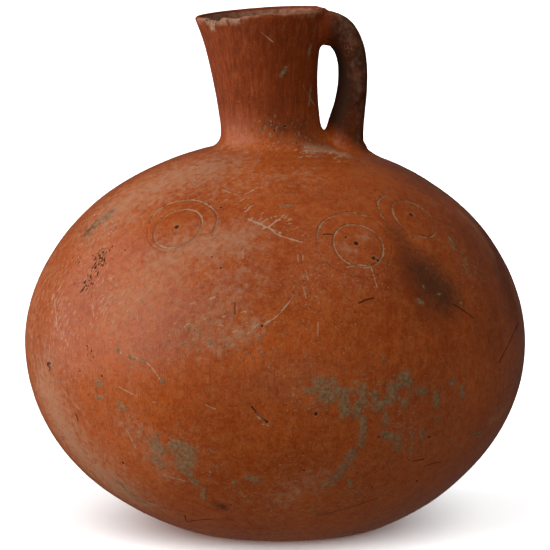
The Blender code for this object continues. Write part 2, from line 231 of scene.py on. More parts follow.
# Marks seen in the photo, as strokes. Each has its half width in mm, its strength, the depth in mm that it
# is pressed into the clay, and its path in the photo's points, which are PIXEL_SIZE mm apart on the jug.
PIXEL_SIZE = 0.8
LIME = {
    "large patch": (7, 1, 0, (320, 385), (333, 388), (325, 397)),
    "large patch, left arm": (2.6, 1, 0, (306, 391), (316, 391)),
    "large patch, right arm": (1.9, 1, 0, (339, 389), (357, 390)),
    "large patch, right foot": (4.4, 1, 0, (343, 394), (345, 414)),
    "strip right of it": (3, 1, 0, (363.5, 386), (363, 401)),
    "strip, foot": (3.8, 1, 0, (360, 404), (357, 414)),
    "small dab": (2.6, 1, 0, (375, 392), (375, 399)),
    "middle patch": (4, 1, 0, (392, 387), (392, 397), (386, 401), (378, 407)),
    "middle patch, top": (4.2, 1, 0, (400, 384), (405, 375), (409, 383)),
    "below middle patch": (2.6, 1, 0, (385, 415), (385, 425)),
    "dab by middle patch": (3.2, 1, 0, (404, 402), (405, 404)),
    "dab further right": (3.2, 1, 0, (418, 391), (425, 391)),
    "upright dab": (3.2, 1, 0, (436, 394), (436, 405)),
    "right dab": (3.2, 1, 0, (451, 382), (452, 383)),
    "far right dab": (2.8, 1, 0, (462, 388), (463, 397)),
    "speck below": (1.7, 1, 0, (437, 418), (437, 420)),
    "lower pair, left": (3.2, 1, 0, (384, 433), (392, 438)),
    "lower pair, right": (3.2, 1, 0, (397, 437), (398, 448)),
    "lower specks": (1.2, 1, 0, (412, 433), (412, 439)),
    "lowest speck": (1.8, 1, 0, (411, 447), (411, 454)),
    "speck right": (1.8, 1, 0, (422, 430), (422, 438)),
    "streak": (2.8, 1, 0, (363, 418), (363, 432), (361, 445)),
    "streak, lower": (4, 0.9, 0, (353, 452), (349, 460)),
    "streak, broad foot": (4.4, 0.85, 0, (346, 464), (340, 472), (334, 480)),
    "streak, end": (3, 0.75, 0, (332, 482), (325, 485)),
    "beside streak": (2, 1, 0, (350, 481), (351, 486)),
    "left patch": (7.6, 1, 0, (176, 448), (187, 452), (184, 467)),
    "left patch, tail": (3.2, 1, 0, (188, 474), (196, 483)),
    "left small patch": (4.4, 1, 0, (154, 442), (160, 450)),
    "left small patch, stem": (1.4, 1, 0, (156, 432), (157, 440)),
    "left lower patch": (4.2, 1, 0, (155, 458), (160, 464)),
    "speck a": (1.6, 1, 0, (217, 467), (218, 468)),
    "speck b": (1.8, 1, 0, (234, 481), (234, 483)),
    "bar": (2.8, 1, 0, (248, 477), (257, 480)),
    "upright bar": (2.2, 1, 0, (203, 489), (203, 499)),
    "arc at lower left": (2.4, 1, 0, (117, 480), (126, 490), (138, 498), (151, 506)),
    "dash a": (1, 1, 0, (314.6, 501), (314.6, 516)),
    "dash b": (1.2, 1, 0, (377, 503), (377, 506)),
    "foot band left": (1.8, 1, 0, (264, 533), (291, 534)),
    "foot band right": (2, 1, 0, (338, 532), (370, 532)),
    "in the gouge": (0.9, 0.9, 0, (257, 413), (263, 419)),
    "left dab a": (1.5, 1, 0, (117, 348), (119, 351)),
    "left dab b": (1.4, 1, 0, (129, 356), (134, 358)),
    "left dab c": (1.4, 1, 0, (140, 360), (145, 361)),
    "left dab d": (1.4, 1, 0, (161, 380), (163, 382)),
    "left fleck a": (2.6, 1, 0, (97, 383), (101, 384)),
    "left fleck b": (1.8, 1, 0, (97, 397), (103, 398)),
    "left fleck c": (2.4, 1, 0, (119, 404), (124, 409)),
    "right fleck": (1.8, 1, 0, (472, 434), (480, 433)),
    "right speck": (1.5, 1, 0, (450, 440), (452, 440)),
    "belly speck": (1.5, 1, 0, (383, 359), (384, 361)),
    "in the stain a": (1.1, 1, 0, (427, 284), (427, 286)),
    "in the stain b": (1.1, 1, 0, (441, 293), (443, 293)),
    "in the stain c": (2.4, 1, 0, (420, 300), (424, 302)),
    "in the stain d": (1.1, 1, 0, (460, 303), (462, 303)),
    "shoulder dab": (2, 1, 0, (450, 238), (455, 249)),
    "shoulder specks": (1.4, 1, 0, (466, 259), (466, 262)),
    "shoulder specks lower": (1.6, 1, 0, (466, 267), (468, 274)),
    "shoulder streak": (1.4, 1, 0, (281, 206), (293, 205)),
    "neck grey": (1.6, 1, 0, (286, 68), (281, 76)),
    "neck grey low": (1.6, 1, 0, (311, 86), (309, 104)),
    "neck grey, right": (1.8, 1, 0, (311, 46), (309, 53)),
}
# Wear and dust, and painted light: a highlight on the left of the belly, pale reflections along the left and
# upper right edges, and light off the floor on the lower left
WEAR_AND_PAINTED_LIGHT = {
    "rubbed band at the neck": (6, 0.8, 0, (312, 150), (328, 151), (344, 155)),
    "rubbed belly": (8, 0.55, 0, (210, 346), (232, 338), (254, 328)),
    "rubbed belly, top": (3.6, 0.45, 0, (207, 323), (236, 318)),
    # These three are partly dust, partly a painted highlight on the left of the belly
    "dust and painted highlight on the shoulder": (17, 0.62, 0, (160, 262), (196, 246), (238, 240)),
    "dust and painted highlight down the left": (24, 0.5, 0, (180, 256), (150, 284), (118, 308)),
    "dust and painted highlight in the middle": (20, 0.4, 0, (236, 282), (222, 306), (196, 330)),
    "dust round the neck": (20, 0.34, 0, (216, 190), (250, 182), (300, 176)),
    # Painted reflection: a pale fringe along the left edge
    "painted reflection on the left edge": (26, 0.34, 0, (32, 300), (30, 335), (34, 365)),
    "dust low right": (6, 0.6, 0, (492, 421), (507, 407), (519, 390)),
    "speckles near the foot": (13, 0.4, 0, (283, 500), (302, 488), (322, 476)),
    "under the small lime": (12, 0.4, 0, (130, 425), (150, 450), (165, 475)),
    # Partly dust, partly painted light off the floor on the lower left edge
    "low left": (28, 0.75, 0, (46, 390), (74, 445), (122, 492)),
    "left shoulder": (32, 0.7, 0, (120, 206), (160, 182), (204, 168)),
    "right shoulder": (16, 0.34, 0, (392, 163), (424, 178), (452, 200)),
    "handle, top": (8, 0.5, 0, (338, 14), (348, 27), (353, 44)),
    "handle, outer side": (6, 0.5, 0, (358, 64), (359, 86)),
    "handle, low": (5, 0.35, 0, (360, 104), (358, 140)),
    "lip, left": (1.4, 0.9, 0, (197, 18.8), (206, 19.6)),
    "lip": (1.6, 0.75, 0, (244, 17), (262, 15.2), (285, 13.6), (322, 11.6)),
    # Painted reflection: a grey sheen along the upper right edge
    "upper right edge": (7, 0.5, 0, (462, 214), (478, 230), (490, 250)),
    "haze in the front circle": (4, 0.6, 0, (342, 246), (350, 252)),
    "blot in the front circle": (3, 0.7, 0, (361, 237), (368, 236)),
}
# Smoke stains, and painted shade: inside the mouth, on the handle's inner side, beside the handle, down the
# valley and along the upper right edge
SMOKE_AND_PAINTED_SHADE = {
    "stain": (15, 0.96, 0, (426, 269), (435, 281), (445, 293)),
    # Partly the smoke stain, partly painted shade down the pressed valley
    "stain's upper end, with painted valley shade": (8, 0.6, 0, (396, 229), (408, 243), (428, 266)),
    "stain, left of it": (15, 0.4, 0, (414, 272), (428, 292), (442, 304)),
    # Painted shadow: the handle's inner face, which the neck shades
    "painted shadow on the handle's inner side": (7, 1, 0, (338, 52), (343, 72), (342, 96), (336, 116)),
    # Painted shade: the inner wall of the mouth turned away from the light
    "painted shade inside the mouth": (9, 0.55, 0, (203, 16), (212, 15.4), (222, 14.8)),
    "handle, grey top": (5, 0.5, 0, (331, 15), (334, 27), (337, 37)),
    # Painted shade in the corner between neck, shoulder and the handle's root
    "painted shade beside the handle": (8, 0.42, 0, (303, 126), (312, 140), (324, 147)),
    "left dark dent": (4.4, 1.3, 0.8, (88, 232), (98, 223), (111, 213)),
    # Painted shade along the upper right edge, away from the light
    "upper right edge": (14, 0.4, 0, (432, 176), (470, 210), (500, 260), (515, 312)),
    "left halo": (10, 0.35, 0, (75, 213), (84, 226), (90, 238)),
    "handle blotch": (4, 0.8, 0, (357, 54), (359, 62)),
    "neck blotch": (2.4, 0.6, 0, (283, 70), (284, 75)),
    "under the neck": (2.4, 0.5, 0, (270, 124), (284, 130)),
    "lower dark patch": (4, 0.9, 0, (216, 504), (224, 507)),
}
# Darker red-brown flush of the firing, and painted shade on the neck's middle and shaded side and on the
# upper right, away from the light
FLUSH_AND_PAINTED_SHADE = {
    "around the stain": (22, 0.74, 0, (403, 266), (416, 290), (438, 308)),
    # Painted shade on the upper right, away from the light
    "upper right": (26, 0.62, 0, (470, 240), (488, 285), (492, 330)),
    # Painted shade on the neck's middle and shaded side
    "painted shade on the neck's middle": (18, 0.42, 0, (262, 32), (284, 56), (288, 100)),
    "neck's shaded side": (14, 0.8, 0, (276, 112), (290, 126), (306, 136)),
    "middle of the belly": (28, 0.42, 0, (262, 392), (290, 382), (312, 372)),
    "above the front circle": (16, 0.35, 0, (300, 190), (340, 200)),
    # Painted shade along the upper right edge
    "upper right edge": (30, 0.85, 0, (410, 172), (458, 202), (490, 242), (508, 292)),
    "left of the pits": (16, 0.35, 0, (65, 250), (60, 290)),
}
# Where fine strokes and fine specks of lime lie too thickly to be laid one by one
HATCHED = {
    "left flank": (34, 1.25, 0, (52, 262), (62, 335)),
    "by the pits": (30, 1.15, 0, (80, 228), (108, 300)),
    "upper left": (24, 0.6, 0, (120, 200), (190, 168)),
    "middle": (50, 0.3, 0, (180, 330), (250, 260), (310, 280)),
    "low left": (60, 0.4, 0, (80, 400), (170, 450)),
    "right": (40, 0.3, 0, (460, 250), (480, 330)),
}
SPECKED = {
    "round the lime": (26, 1, 0, (320, 400), (400, 400), (385, 450)),
    "by the foot": (34, 0.9, 0, (250, 500), (320, 490), (370, 500)),
    "low left": (36, 0.8, 0, (90, 380), (140, 430), (180, 470)),
    "middle": (36, 0.8, 0, (190, 335), (270, 330), (320, 270)),
    "upper right": (26, 0.8, 0, (450, 230), (470, 270)),
    "foot of the neck": (20, 1, 0, (250, 140), (320, 140)),
}
SCRATCHES = {
    "shoulder, long": (0.5, 1, 0, (221, 189), (241, 195), (258, 187)),
    "shoulder crackle a": (1, 1, 0, (248, 219), (257, 223), (264, 226), (280, 233)),
    "shoulder crackle b": (0.8, 1, 0, (282, 217), (270, 226), (262, 229)),
    "shoulder crackle c": (0.7, 1, 0, (270, 229), (281, 236), (302, 242)),
    "mid a": (0.5, 1, 0, (243, 249), (243, 258)),
    "mid b": (0.5, 1, 0, (298, 255), (298, 261)),
    "mid c": (0.4, 1, 0, (303, 250), (303, 264)),
    "mid d": (0.7, 1, 0, (307, 276), (308, 279)),
    "mid e": (0.4, 1, 0, (303, 286), (306, 298)),
    "belly arc": (0.5, 1, 0, (262, 326), (277, 316), (290, 301)),
    "circle, upright": (0.6, 1, 0, (371, 266), (374, 276), (377, 287)),
    "circle, level": (0.5, 1, 0, (347, 267), (358, 265), (370, 266)),
    "left a": (0.6, 1, 0, (116, 347), (121, 353)),
    "left b": (0.5, 1, 0, (127, 355), (146, 362), (155, 372), (164, 384)),
    "left c": (0.5, 1, 0, (119, 387), (136, 396)),
    "left d": (0.5, 1, 0, (126, 428), (136, 449)),
    "left e": (0.6, 1, 0, (54, 296), (57, 327)),
    "left f": (0.5, 1, 0, (92, 305), (94, 316)),
    "left g": (0.6, 1, 0, (49, 345), (49, 360)),
    "left h": (0.5, 1, 0, (101, 234), (109, 228), (117, 223)),
    "left i": (0.4, 1, 0, (101, 228), (107, 224), (112, 220)),
    "belly nick": (0.6, 1, 0, (206, 405), (215, 409)),
    "belly nick low": (0.6, 1, 0, (153, 402), (157, 402)),
    "middle, upright": (0.4, 1, 0, (318, 322), (318, 340)),
    "low left": (0.4, 1, 0, (162, 475), (189, 482)),
    "neck": (0.4, 1, 0, (261, 32), (273, 42)),
    "neck grey line": (0.4, 1, 0, (303, 86), (315, 106)),
    "gouge edge": (0.7, 1, 0, (262, 424), (268, 425)),
    "gouge, left rim": (0.6, 1, 0, (255, 414), (260, 419)),
}
CRACKS = {
    "gouge": (0.75, 0.62, 1.2, (252, 407), (256, 412), (261, 417), (267, 422)),
    "foot a": (0.5, 1, 0.3, (185, 515), (187, 521), (196, 520), (211, 519)),
    "foot b": (0.4, 1, 0.2, (223, 517), (234, 520)),
    "right edge": (0.5, 1, 0.3, (518, 323), (509, 343), (499, 363)),
    "low right": (0.35, 1, 0.15, (322, 515), (348, 508), (377, 498)),
    "dash under the circle": (0.6, 1, 0.4, (359, 303), (366, 300), (373, 298)),
    "dash left of the circle": (0.6, 1, 0.2, (323, 234), (332, 234)),
    "line under the stain": (0.5, 1, 0.3, (454, 304), (464, 311), (474, 318)),
    "slit": (0.8, 1, 0.6, (76, 414), (78, 421)),
    "belly right": (0.5, 1, 0.3, (413, 461), (424, 459)),
    "low belly": (0.35, 1, 0.1, (425, 466), (433, 463), (441, 462)),
    "handle groove": (0.7, 1, 0.4, (327, 39), (334, 41)),
    "middle upright": (0.4, 1, 0.2, (235, 302), (235, 314)),
}
GROOVES = {
    "outer ring, front left": (
        *WHOLE_RING, (150, 222), (156, 212), (166, 205), (179, 201), (195, 200), (208, 205), (216, 213),
        (217, 222), (212, 235),
    ),
    "outer ring, front, upper left": (
        *WHOLE_RING, (317, 238), (319, 228), (324, 221), (336, 215), (350, 212), (365, 216),
    ),
    "outer ring, front right, left side": (
        *WHOLE_RING, (390, 196), (384, 196), (378, 203), (380, 213), (386, 220),
    ),
    "faint ring, front, upper right": (
        *FAINT_RING, (365, 216), (378, 223), (388, 235), (392, 250), (388, 266),
    ),
    "faint ring, front, below": (
        *FAINT_RING, (316, 239), (319, 252), (329, 264), (350, 275), (373, 277), (388, 267),
    ),
    "faint ring, front left, lower left": (*FAINT_RING, (148, 229), (148, 238), (152, 246), (162, 252)),
}
DOTS = {
    "front left": (*DOT, (176.8, 226.8)),
    "front": (*DOT, (356.6, 243.0)),
    "front right": (*DOT, (411.6, 214.6)),
}
STROKES = {
    "groove": GROOVES,
    "pit": DOTS,
    "lime": LIME,
    "worn": WEAR_AND_PAINTED_LIGHT,
    "smoke": SMOKE_AND_PAINTED_SHADE,
    "flush": FLUSH_AND_PAINTED_SHADE,
    "hatched": HATCHED,
    "specked": SPECKED,
    "scratch": SCRATCHES,
    "crack": CRACKS,
}

# Steps in mm between the points of a ring's stroke, and the widest steps of the other strokes
GROOVE_SPACING = 0.5
WIDEST_SPACING = 2

# Small marks that lie thickly together: their kind and count, the group's half breadth in picture points,
# their length in mm, lean from upright in degrees, half width and depth in mm, and the group's middle line
GROUPS = {
    "pit string": ("pit", 74, 7.5, 1, 32, 0.66, 0.8, (102, 250), (97, 266), (84, 289)),
    "pit string, left": ("pit", 9, 3, 0, 0, 0.7, 0.6, (80, 258), (71, 266)),
    "pits by the slit": ("pit", 14, 5, 0, 0, 0.6, 0.5, (86, 345), (93, 360)),
    "pits at the left edge": ("pit", 9, 2.4, 0, 0, 1.1, 0.7, (48, 362), (49, 370)),
    "hatch by the dent": ("scratch", 16, 6, 4, -20, 0.34, 0, (103, 226), (117, 234)),
    "rubbing on the belly": ("scratch", 18, 16, 3.4, 65, 0.45, 0, (172, 322), (256, 326)),
    "rubbing on the belly, low": ("lime", 22, 13, 3, 60, 0.9, 0, (170, 338), (254, 346)),
    "shoulder crackle": ("scratch", 24, 14, 3.6, 55, 0.45, 0, (222, 190), (262, 218), (300, 228)),
    "junction, dark": ("pit", 18, 8, 0, 0, 0.65, 0.6, (262, 125), (280, 128), (298, 127)),
    "junction, light": ("lime", 14, 12, 1.6, 0, 0.75, 0, (264, 129), (296, 126)),
    "rubbed band": ("scratch", 30, 7, 3, 75, 0.8, 0, (300, 154), (346, 153)),
}
GROUPS_SEED = 5
GROUP_SIZES = (0.55, 1.35)
GROUP_SPREAD = 0.5
GROUP_LEAN_SPREAD = 14
GROUP_SPACING = 0.4

# Single pits: their half width and depth in mm, then their places. Their sizes vary in turn.
PITS = {
    "largest in the string": (
        1.3, 1.1, (103, 252), (102, 260), (95, 267), (91, 283), (82, 290), (252, 407), (267, 422),
    ),
    "deep pits": (
        1.4, 1.2, (123, 463), (49, 367), (374, 258), (378, 260), (316, 414), (379, 437), (429, 437),
        (417, 481),
    ),
    "small pits": (
        0.9, 0.7, (80, 371), (82, 381), (102, 376), (88, 395), (90, 476), (252, 516), (184, 512), (189, 526),
        (197, 483), (221, 207), (212, 257), (221, 268), (137, 271), (125, 250), (197, 165), (286, 309),
        (262, 326), (293, 292), (372, 487), (399, 494), (358, 473), (304, 470), (286, 524), (324, 535),
        (489, 320), (505, 331), (488, 349), (507, 354), (500, 370), (441, 359), (346, 237), (409, 460),
        (231, 505), (222, 509), (297, 143), (313, 30), (260, 84), (346, 47), (351, 33), (308, 50), (292, 38),
    ),
}
PIT_SIZES = (1.0, 0.7, 1.2, 0.85, 1.05, 0.6, 0.9)

# Masks of the clay's skin, each between 0 and 1, made in this order. A mask starts from noise (size in mm,
# detail, roughness) that may be drawn out along the height or lean over, and that may count as a wobble
# about nothing. Then shares of other values are added, or the most of them is taken. An edge turns low to
# high values into 0 to 1, or into its last two numbers, and "times" lets the mask show only where another
# value does. Real grit and pores are under half a millimetre: they are drawn about 1 mm wide, so that they
# show in the picture.
MASKS = {
    "broad": {"grain": (95, 3, 0.55), "edge": (0.32, 0.68)},
    "patchy": {"grain": (24, 3, 0.6), "edge": (0.30, 0.72)},
    "cloudy": {"grain": (7.5, 4, 0.65), "edge": (0.30, 0.72)},
    "worked": {"grain": (3.2, 4, 0.7), "edge": (0.52, 0.34)},
    "stroked": {"grain": (1.0, 3, 0.55), "drawn": 1 / 0.045, "edge": (0.42, 0.70)},
    "grit": {"grain": (1.0, 2, 0.6), "edge": (0.63, 0.72)},
    "dark grit": {"grain": (1.3, 2, 0.6), "edge": (0.34, 0.26)},
    # Partly painted shade, partly the neck's darker firing: the neck darkened above its foot, as it gets less
    # light than the shoulder
    "neck": {"grain": (30, 3, 0.6), "wobble": 0.008, "add": {"height": 1}, "edge": (0.308, 0.344)},
    "dragged dark": {"grain": (2.6, 4, 0.62), "drawn": 1 / 0.07, "edge": (0.54, 0.36), "times": "neck"},
    "dragged light": {"grain": (2.6, 4, 0.62), "drawn": 1 / 0.07, "edge": (0.54, 0.74), "times": "neck"},
    # Painted shade: the whole handle darkened, where the neck shades it from the light
    "handle in painted shadow": {"grain": (22, 3, 0.6), "edge": (0.25, 0.65, 0.62, 0.90), "times": "handle"},
    # Firing flush and painted shade, from the strokes above
    "flushed_and_painted_shade": {"grain": (14, 3, 0.6), "wobble": 0.16, "add": {"flush": 1}, "edge": (0.05, 0.95)},
    # Smoke stains and painted shade, from the strokes above
    "smoked_and_painted_shade": {"grain": (2.6, 3, 0.6), "wobble": 0.13, "add": {"smoke": 1}, "edge": (0.04, 0.95)},
    # Dust and wear, and painted light where the worn strokes stand for a highlight, reflections or light off
    # the floor
    "dusty area": {"add": {"worn": 1}, "edge": (0, 0.2)},
    "dust wobble": {"grain": (5, 6, 0.6), "wobble": 0.42, "times": "dusty area"},
    "dust": {"add": {"worn": 1, "dust wobble": 1}, "edge": (0.06, 0.90)},
    "hatching": {
        "grain": (1.7, 4, 0.65), "lean": 28, "drawn": 3.6, "add": {"hatched": 0.14}, "edge": (0.71, 0.76),
    },
    "speck areas": {"grain": (38, 2, 0.5)},
    "specks": {
        "grain": (2.2, 4, 0.65), "add": {"speck areas": 0.22, "specked": 0.10}, "edge": (0.785, 0.835),
    },
    "flakes": {"grain": (4.4, 5, 0.72), "add": {"worn": 0.09}, "edge": (0.70, 0.76)},
    "scratched": {"grain": (3.2, 3, 0.6), "wobble": 0.40, "add": {"scratch": 1}, "edge": (0.48, 0.76)},
    # Painted shade: a dark edge along the grooves, where they would be shaded
    "painted groove shadow": {"grain": (0.9, 3, 0.6), "wobble": 0.10, "add": {"groove": 1}, "edge": (0.24, 0.44)},
    "fill kept": {"grain": (20, 2, 0.5), "edge": (0.38, 0.58, 0.3, 1)},
    "groove fill": {
        "grain": (3.2, 3, 0.6), "wobble": 0.30, "add": {"groove": 1}, "edge": (0.50, 0.82),
        "times": "fill kept",
    },
    "pit rim": {"grain": (1.6, 3, 0.6), "wobble": 0.16, "add": {"pit": 1}, "edge": (0.12, 0.36)},
    "fissure": {"grain": (0.9, 3, 0.6), "wobble": 0.10, "add": {"crack": 1}, "edge": (0.38, 0.58)},
    "hole": {"grain": (0.9, 3, 0.6), "wobble": 0.10, "add": {"pit": 1}, "edge": (0.34, 0.66)},
    "crust kept": {"grain": (3.6, 4, 0.65), "edge": (0.34, 0.48, 0.35, 1)},
    "crust": {
        "grain": (4.0, 5, 0.6), "wobble": 0.27, "add": {"lime": 1}, "edge": (0.26, 0.78),
        "times": "crust kept",
    },
    "thin crust": {"grain": (1.6, 4, 0.7), "edge": (0.30, 0.62, 0.45, 0.90), "times": "crust"},
    "crust tone": {"grain": (3.0, 4, 0.7), "edge": (0.3, 0.7)},
    "raw tone": {"grain": (5, 4, 0.7), "edge": (0.35, 0.65)},
    "broken tone": {"grain": (1.4, 3, 0.6), "edge": (0.35, 0.65)},
    # Soot and painted shade on the raw clay, mostly the shaded inside of the mouth
    "raw clay, soot and painted shade": {"add": {"smoked_and_painted_shade": 1}, "times": "raw"},
    "matt": {
        "most": {
            "crust": 1, "raw": 1, "broken": 1, "dust": 1, "smoked_and_painted_shade": 1, "hole": 1, "fissure": 1,
            "handle": 0.75, "neck": 0.8,
        },
    },
    "gloss": {"grain": (9, 4, 0.65), "edge": (0.3, 0.7, 0.24, 0.36)},
    "fine relief": {"grain": (1.3, 3, 0.6)},
    "broad relief": {"grain": (5.5, 3, 0.5)},
    "matt relief": {"grain": (2.2, 4, 0.65), "times": "matt"},
    "relief": {
        "add": {
            "fine relief": 0.10, "broad relief": 0.16, "stroked": -0.03, "crust": 0.14, "dark grit": -0.10,
            "matt relief": 0.5,
        },
    },
}

# Noise values that a wobble stretches to its full reach, down and up
WOBBLE_RANGE = (0.25, 0.75)

# Fired clay is rough, with an IOR of about 1.5. These start there and are matched to the jug's low sheen.
MATT_ROUGHNESS = 0.95
RELIEF_STRENGTH = 0.8
SPECULAR_LEVEL = 0.32
REFRACTION = 1.43

# Colours laid over the clay's own, one upon the other: the mask, its share, the tone, and where the tone
# changes, the other tone and the value it changes with
CLAY_TONE = "9B3E0C"
LAYERS = (
    ("broad", 1, "BD561A"),
    ("patchy", 0.40, "8A3812"),
    ("cloudy", 0.42, "C27038"),
    ("worked", 0.50, "7C3210"),
    ("stroked", 0.32, "6E2D13"),
    ("grit", 0.60, "D09A70"),
    ("dark grit", 0.55, "45200F"),
    # Painted shade and darker firing on the neck
    ("neck", 0.64, "6C2505"),
    ("dragged dark", 0.42, "541D07"),
    ("dragged light", 0.42, "A8613A"),
    # Painted shade of the neck over the handle
    ("handle in painted shadow", 1, "3C1907"),
    # Firing flush and painted shade
    ("flushed_and_painted_shade", 0.60, "5A200C"),
    # Smoke stains and painted shade
    ("smoked_and_painted_shade", 0.78, "33251A"),
    # Dust and wear, and painted highlight, reflections and floor light
    ("dust", 0.60, "B28A6C", "866650", "handle"),
    ("hatching", 0.55, "C49C7A"),
    ("specks", 0.62, "948468"),
    ("flakes", 0.70, "A98E73"),
    ("scratched", 0.66, "B49A7E"),
    # Painted shade in the grooves
    ("painted groove shadow", 0.40, "59260F"),
    ("groove fill", 0.70, "B4926E"),
    ("pit rim", 0.30, "B07C55"),
    ("fissure", 0.82, "3A1A0D"),
    ("hole", 0.92, "44200D"),
    ("thin crust", 1, "66543A", "97805E", "crust tone"),
    ("raw", 1, "86503A", "AC7C62", "raw tone"),
    # Soot and painted shade on the raw clay inside
    ("raw clay, soot and painted shade", 0.85, "3A2A1E"),
    ("broken", 1, "845A42", "AE866A", "broken tone"),
)

# Studio: softboxes on the jug by azimuth, elevation, distance, width, height, power and whether they show
# as gloss, then low suns on the floor by azimuth, elevation and power
LIT_MIDDLE = Vector((0.0, 0.0, 0.2))
WORLD_STRENGTH = 0.07
SOFTBOXES = {
    "key softbox": (-84, 18, 1.2, 1.7, 1.5, 10.6, True),
    "side softbox": (-58, 20, 2.2, 1.6, 1.8, 14.0, True),
    "top softbox": (10, 74, 1.6, 1.8, 1.8, 14.0, False),
    "front fill": (0, -5, 2.2, 2.2, 1.0, 12.5, False),
    "light off the floor, left": (-96, -38, 1.6, 1.2, 1.2, 6.8, False),
    "light off the floor, right": (76, -34, 1.6, 1.2, 1.2, 1.6, False),
}
FLOOR_SUNS = ((-72, 34, 5.0), (66, 34, 4.5), (0, 30, 1.0), (180, 30, 0.5), (0, 80, 0.4))
SUN_DISTANCE = 3.0
SUN_ANGLE_DEG = 80
FLOOR_SIZE = 40.0
FLOOR_TONE = "F4F4F4"
FLOOR_ROUGHNESS = 0.9

# Camera: it looks a little down on the jug from 3 m in front, and its picture is a square
PICTURE_SIDE = 550
CAMERA_PLACE = Vector((0.0, -3.0, 0.6035))
CAMERA_AIM = Vector((0.0, 0.0, 0.2002))
LENS = 247.8
SENSOR = 36.0


def ease(value):
    """0 below 0, 1 above 1, and a smooth step between."""
    t = np.clip(value, 0.0, 1.0)
    return t * t * (3 - 2 * t)


def blend(low, high, share):
    return low + (high - low) * share


def heading(azimuth):
    """Unit vector that points straight out of the body at an azimuth."""
    turn = math.radians(azimuth)
    return np.array((math.sin(turn), -math.cos(turn), 0.0))


def depth_at(height):
    return np.where(height > BELLY_HEIGHT, UPPER_DEPTH, LOWER_DEPTH)


def latitude(height):
    """Angle of a height above the belly's level, along the body's curve."""
    return np.degrees(np.arcsin(np.clip((height - BELLY_HEIGHT) / depth_at(height), -1.0, 1.0)))


def neck_share(height):
    return np.clip((height - WAIST_HEIGHT) / (RIM_HEIGHT - WAIST_HEIGHT), 0.0, 1.0)


def neck_radius(height):
    return blend(NECK_RADIUS, RIM_RADIUS, neck_share(height) ** FLARE_POWER)


def lean(height):
    """How far the form's centre stands off the belly's centre along X, at a height."""
    foot = FOOT_SHIFT * (1 - ease(height / FOOT_SHIFT_FADE))
    shoulder = SHOULDER_SHIFT * ease(latitude(height) / SHOULDER_SHIFT_LATITUDE)
    settling = 1 - (1 - neck_share(height)) ** NECK_LEAN_POWER
    neck = blend(NECK_SHIFT, MOUTH_SHIFT, settling)
    return foot + blend(shoulder, neck, ease((height - NECK_START) / NECK_FILLET_RISE))


def valley(points):
    """Depth of the pressed valley at points of the straight body."""
    level = latitude(points[:, 2])
    share = (VALLEY_TOP_LATITUDE - level) / (VALLEY_TOP_LATITUDE - VALLEY_END_LATITUDE)
    azimuth = blend(VALLEY_TOP_AZIMUTH, VALLEY_END_AZIMUTH, share)
    half_width = blend(VALLEY_TOP_HALF_WIDTH, VALLEY_END_HALF_WIDTH, np.clip(share, 0.0, 1.0))
    across = np.arctan2(points[:, 0], -points[:, 1]) - np.radians(azimuth)
    offset = np.abs(across) * np.hypot(points[:, 0], points[:, 1])
    above = (VALLEY_TOP_LATITUDE - level) / (VALLEY_TOP_LATITUDE - VALLEY_DEEPEST_LATITUDE)
    below = (level - VALLEY_END_LATITUDE) / (VALLEY_DEEPEST_LATITUDE - VALLEY_END_LATITUDE)
    along = np.where(level > VALLEY_DEEPEST_LATITUDE, above, below)
    return VALLEY_DEPTH * ease(along) * ease(1 - offset / half_width)


def body_normals(points):
    flat = points / BELLY_RADIUS**2
    flat[:, 2] = (points[:, 2] - BELLY_HEIGHT) / depth_at(points[:, 2]) ** 2
    return flat / np.linalg.norm(flat, axis=1, keepdims=True)


def bezier(points, steps):
    """Points along a cubic curve, without its first one."""
    a, b, c, d = (np.array(p) for p in points)
    found = []
    for step in range(1, steps + 1):
        t = step / steps
        s = 1 - t
        found.append(tuple(a * s**3 + b * 3 * s * s * t + c * 3 * s * t * t + d * t**3))
    return found


def ellipse_run(radius, depth, start_radius, end_radius, steps):
    """Points of a quarter ellipse between two radii, by even turns, without its first one."""
    start = math.acos(min(1.0, start_radius / radius))
    end = math.acos(min(1.0, end_radius / radius))
    turns = [blend(start, end, step / steps) for step in range(1, steps + 1)]
    return [(radius * math.cos(turn), BELLY_HEIGHT + depth * math.sin(turn)) for turn in turns]


def outside_profile():
    """Half outline of the outside, from the foot's centre to the start of the lip."""
    foot_edge = FOOT_RADIUS + FOOT_SOFTENING
    above_foot = BELLY_HEIGHT - LOWER_DEPTH * math.sqrt(1 - (foot_edge / BELLY_RADIUS) ** 2)
    flat_edge = (FOOT_RADIUS - FOOT_SOFTENING, 0.0)
    corner = (FOOT_RADIUS, 0.0)
    points = [(flat_edge[0] * share, 0.0) for share in FOOT_SHARES]
    points += bezier((flat_edge, corner, corner, (foot_edge, above_foot)), OUTSIDE_POINTS["foot edge"])
    points += ellipse_run(BELLY_RADIUS, -LOWER_DEPTH, foot_edge, BELLY_RADIUS, OUTSIDE_POINTS["lower"])
    points += ellipse_run(BELLY_RADIUS, UPPER_DEPTH, BELLY_RADIUS, NECK_START_RADIUS, OUTSIDE_POINTS["upper"])
    start = points[-1]
    slope = (points[-2][1] - start[1]) / (points[-2][0] - start[0])
    run = NECK_FILLET_REACH / 2
    inward = (start[0] - run, start[1] - slope * run)
    below_waist = (NECK_RADIUS, WAIST_HEIGHT - NECK_FILLET_RISE / 2)
    points += bezier((start, inward, below_waist, (NECK_RADIUS, WAIST_HEIGHT)), OUTSIDE_POINTS["fillet"])
    count = OUTSIDE_POINTS["neck"]
    heights = [blend(WAIST_HEIGHT, LIP_START, step / count) for step in range(1, count + 1)]
    return points + [(float(neck_radius(height)), height) for height in heights]


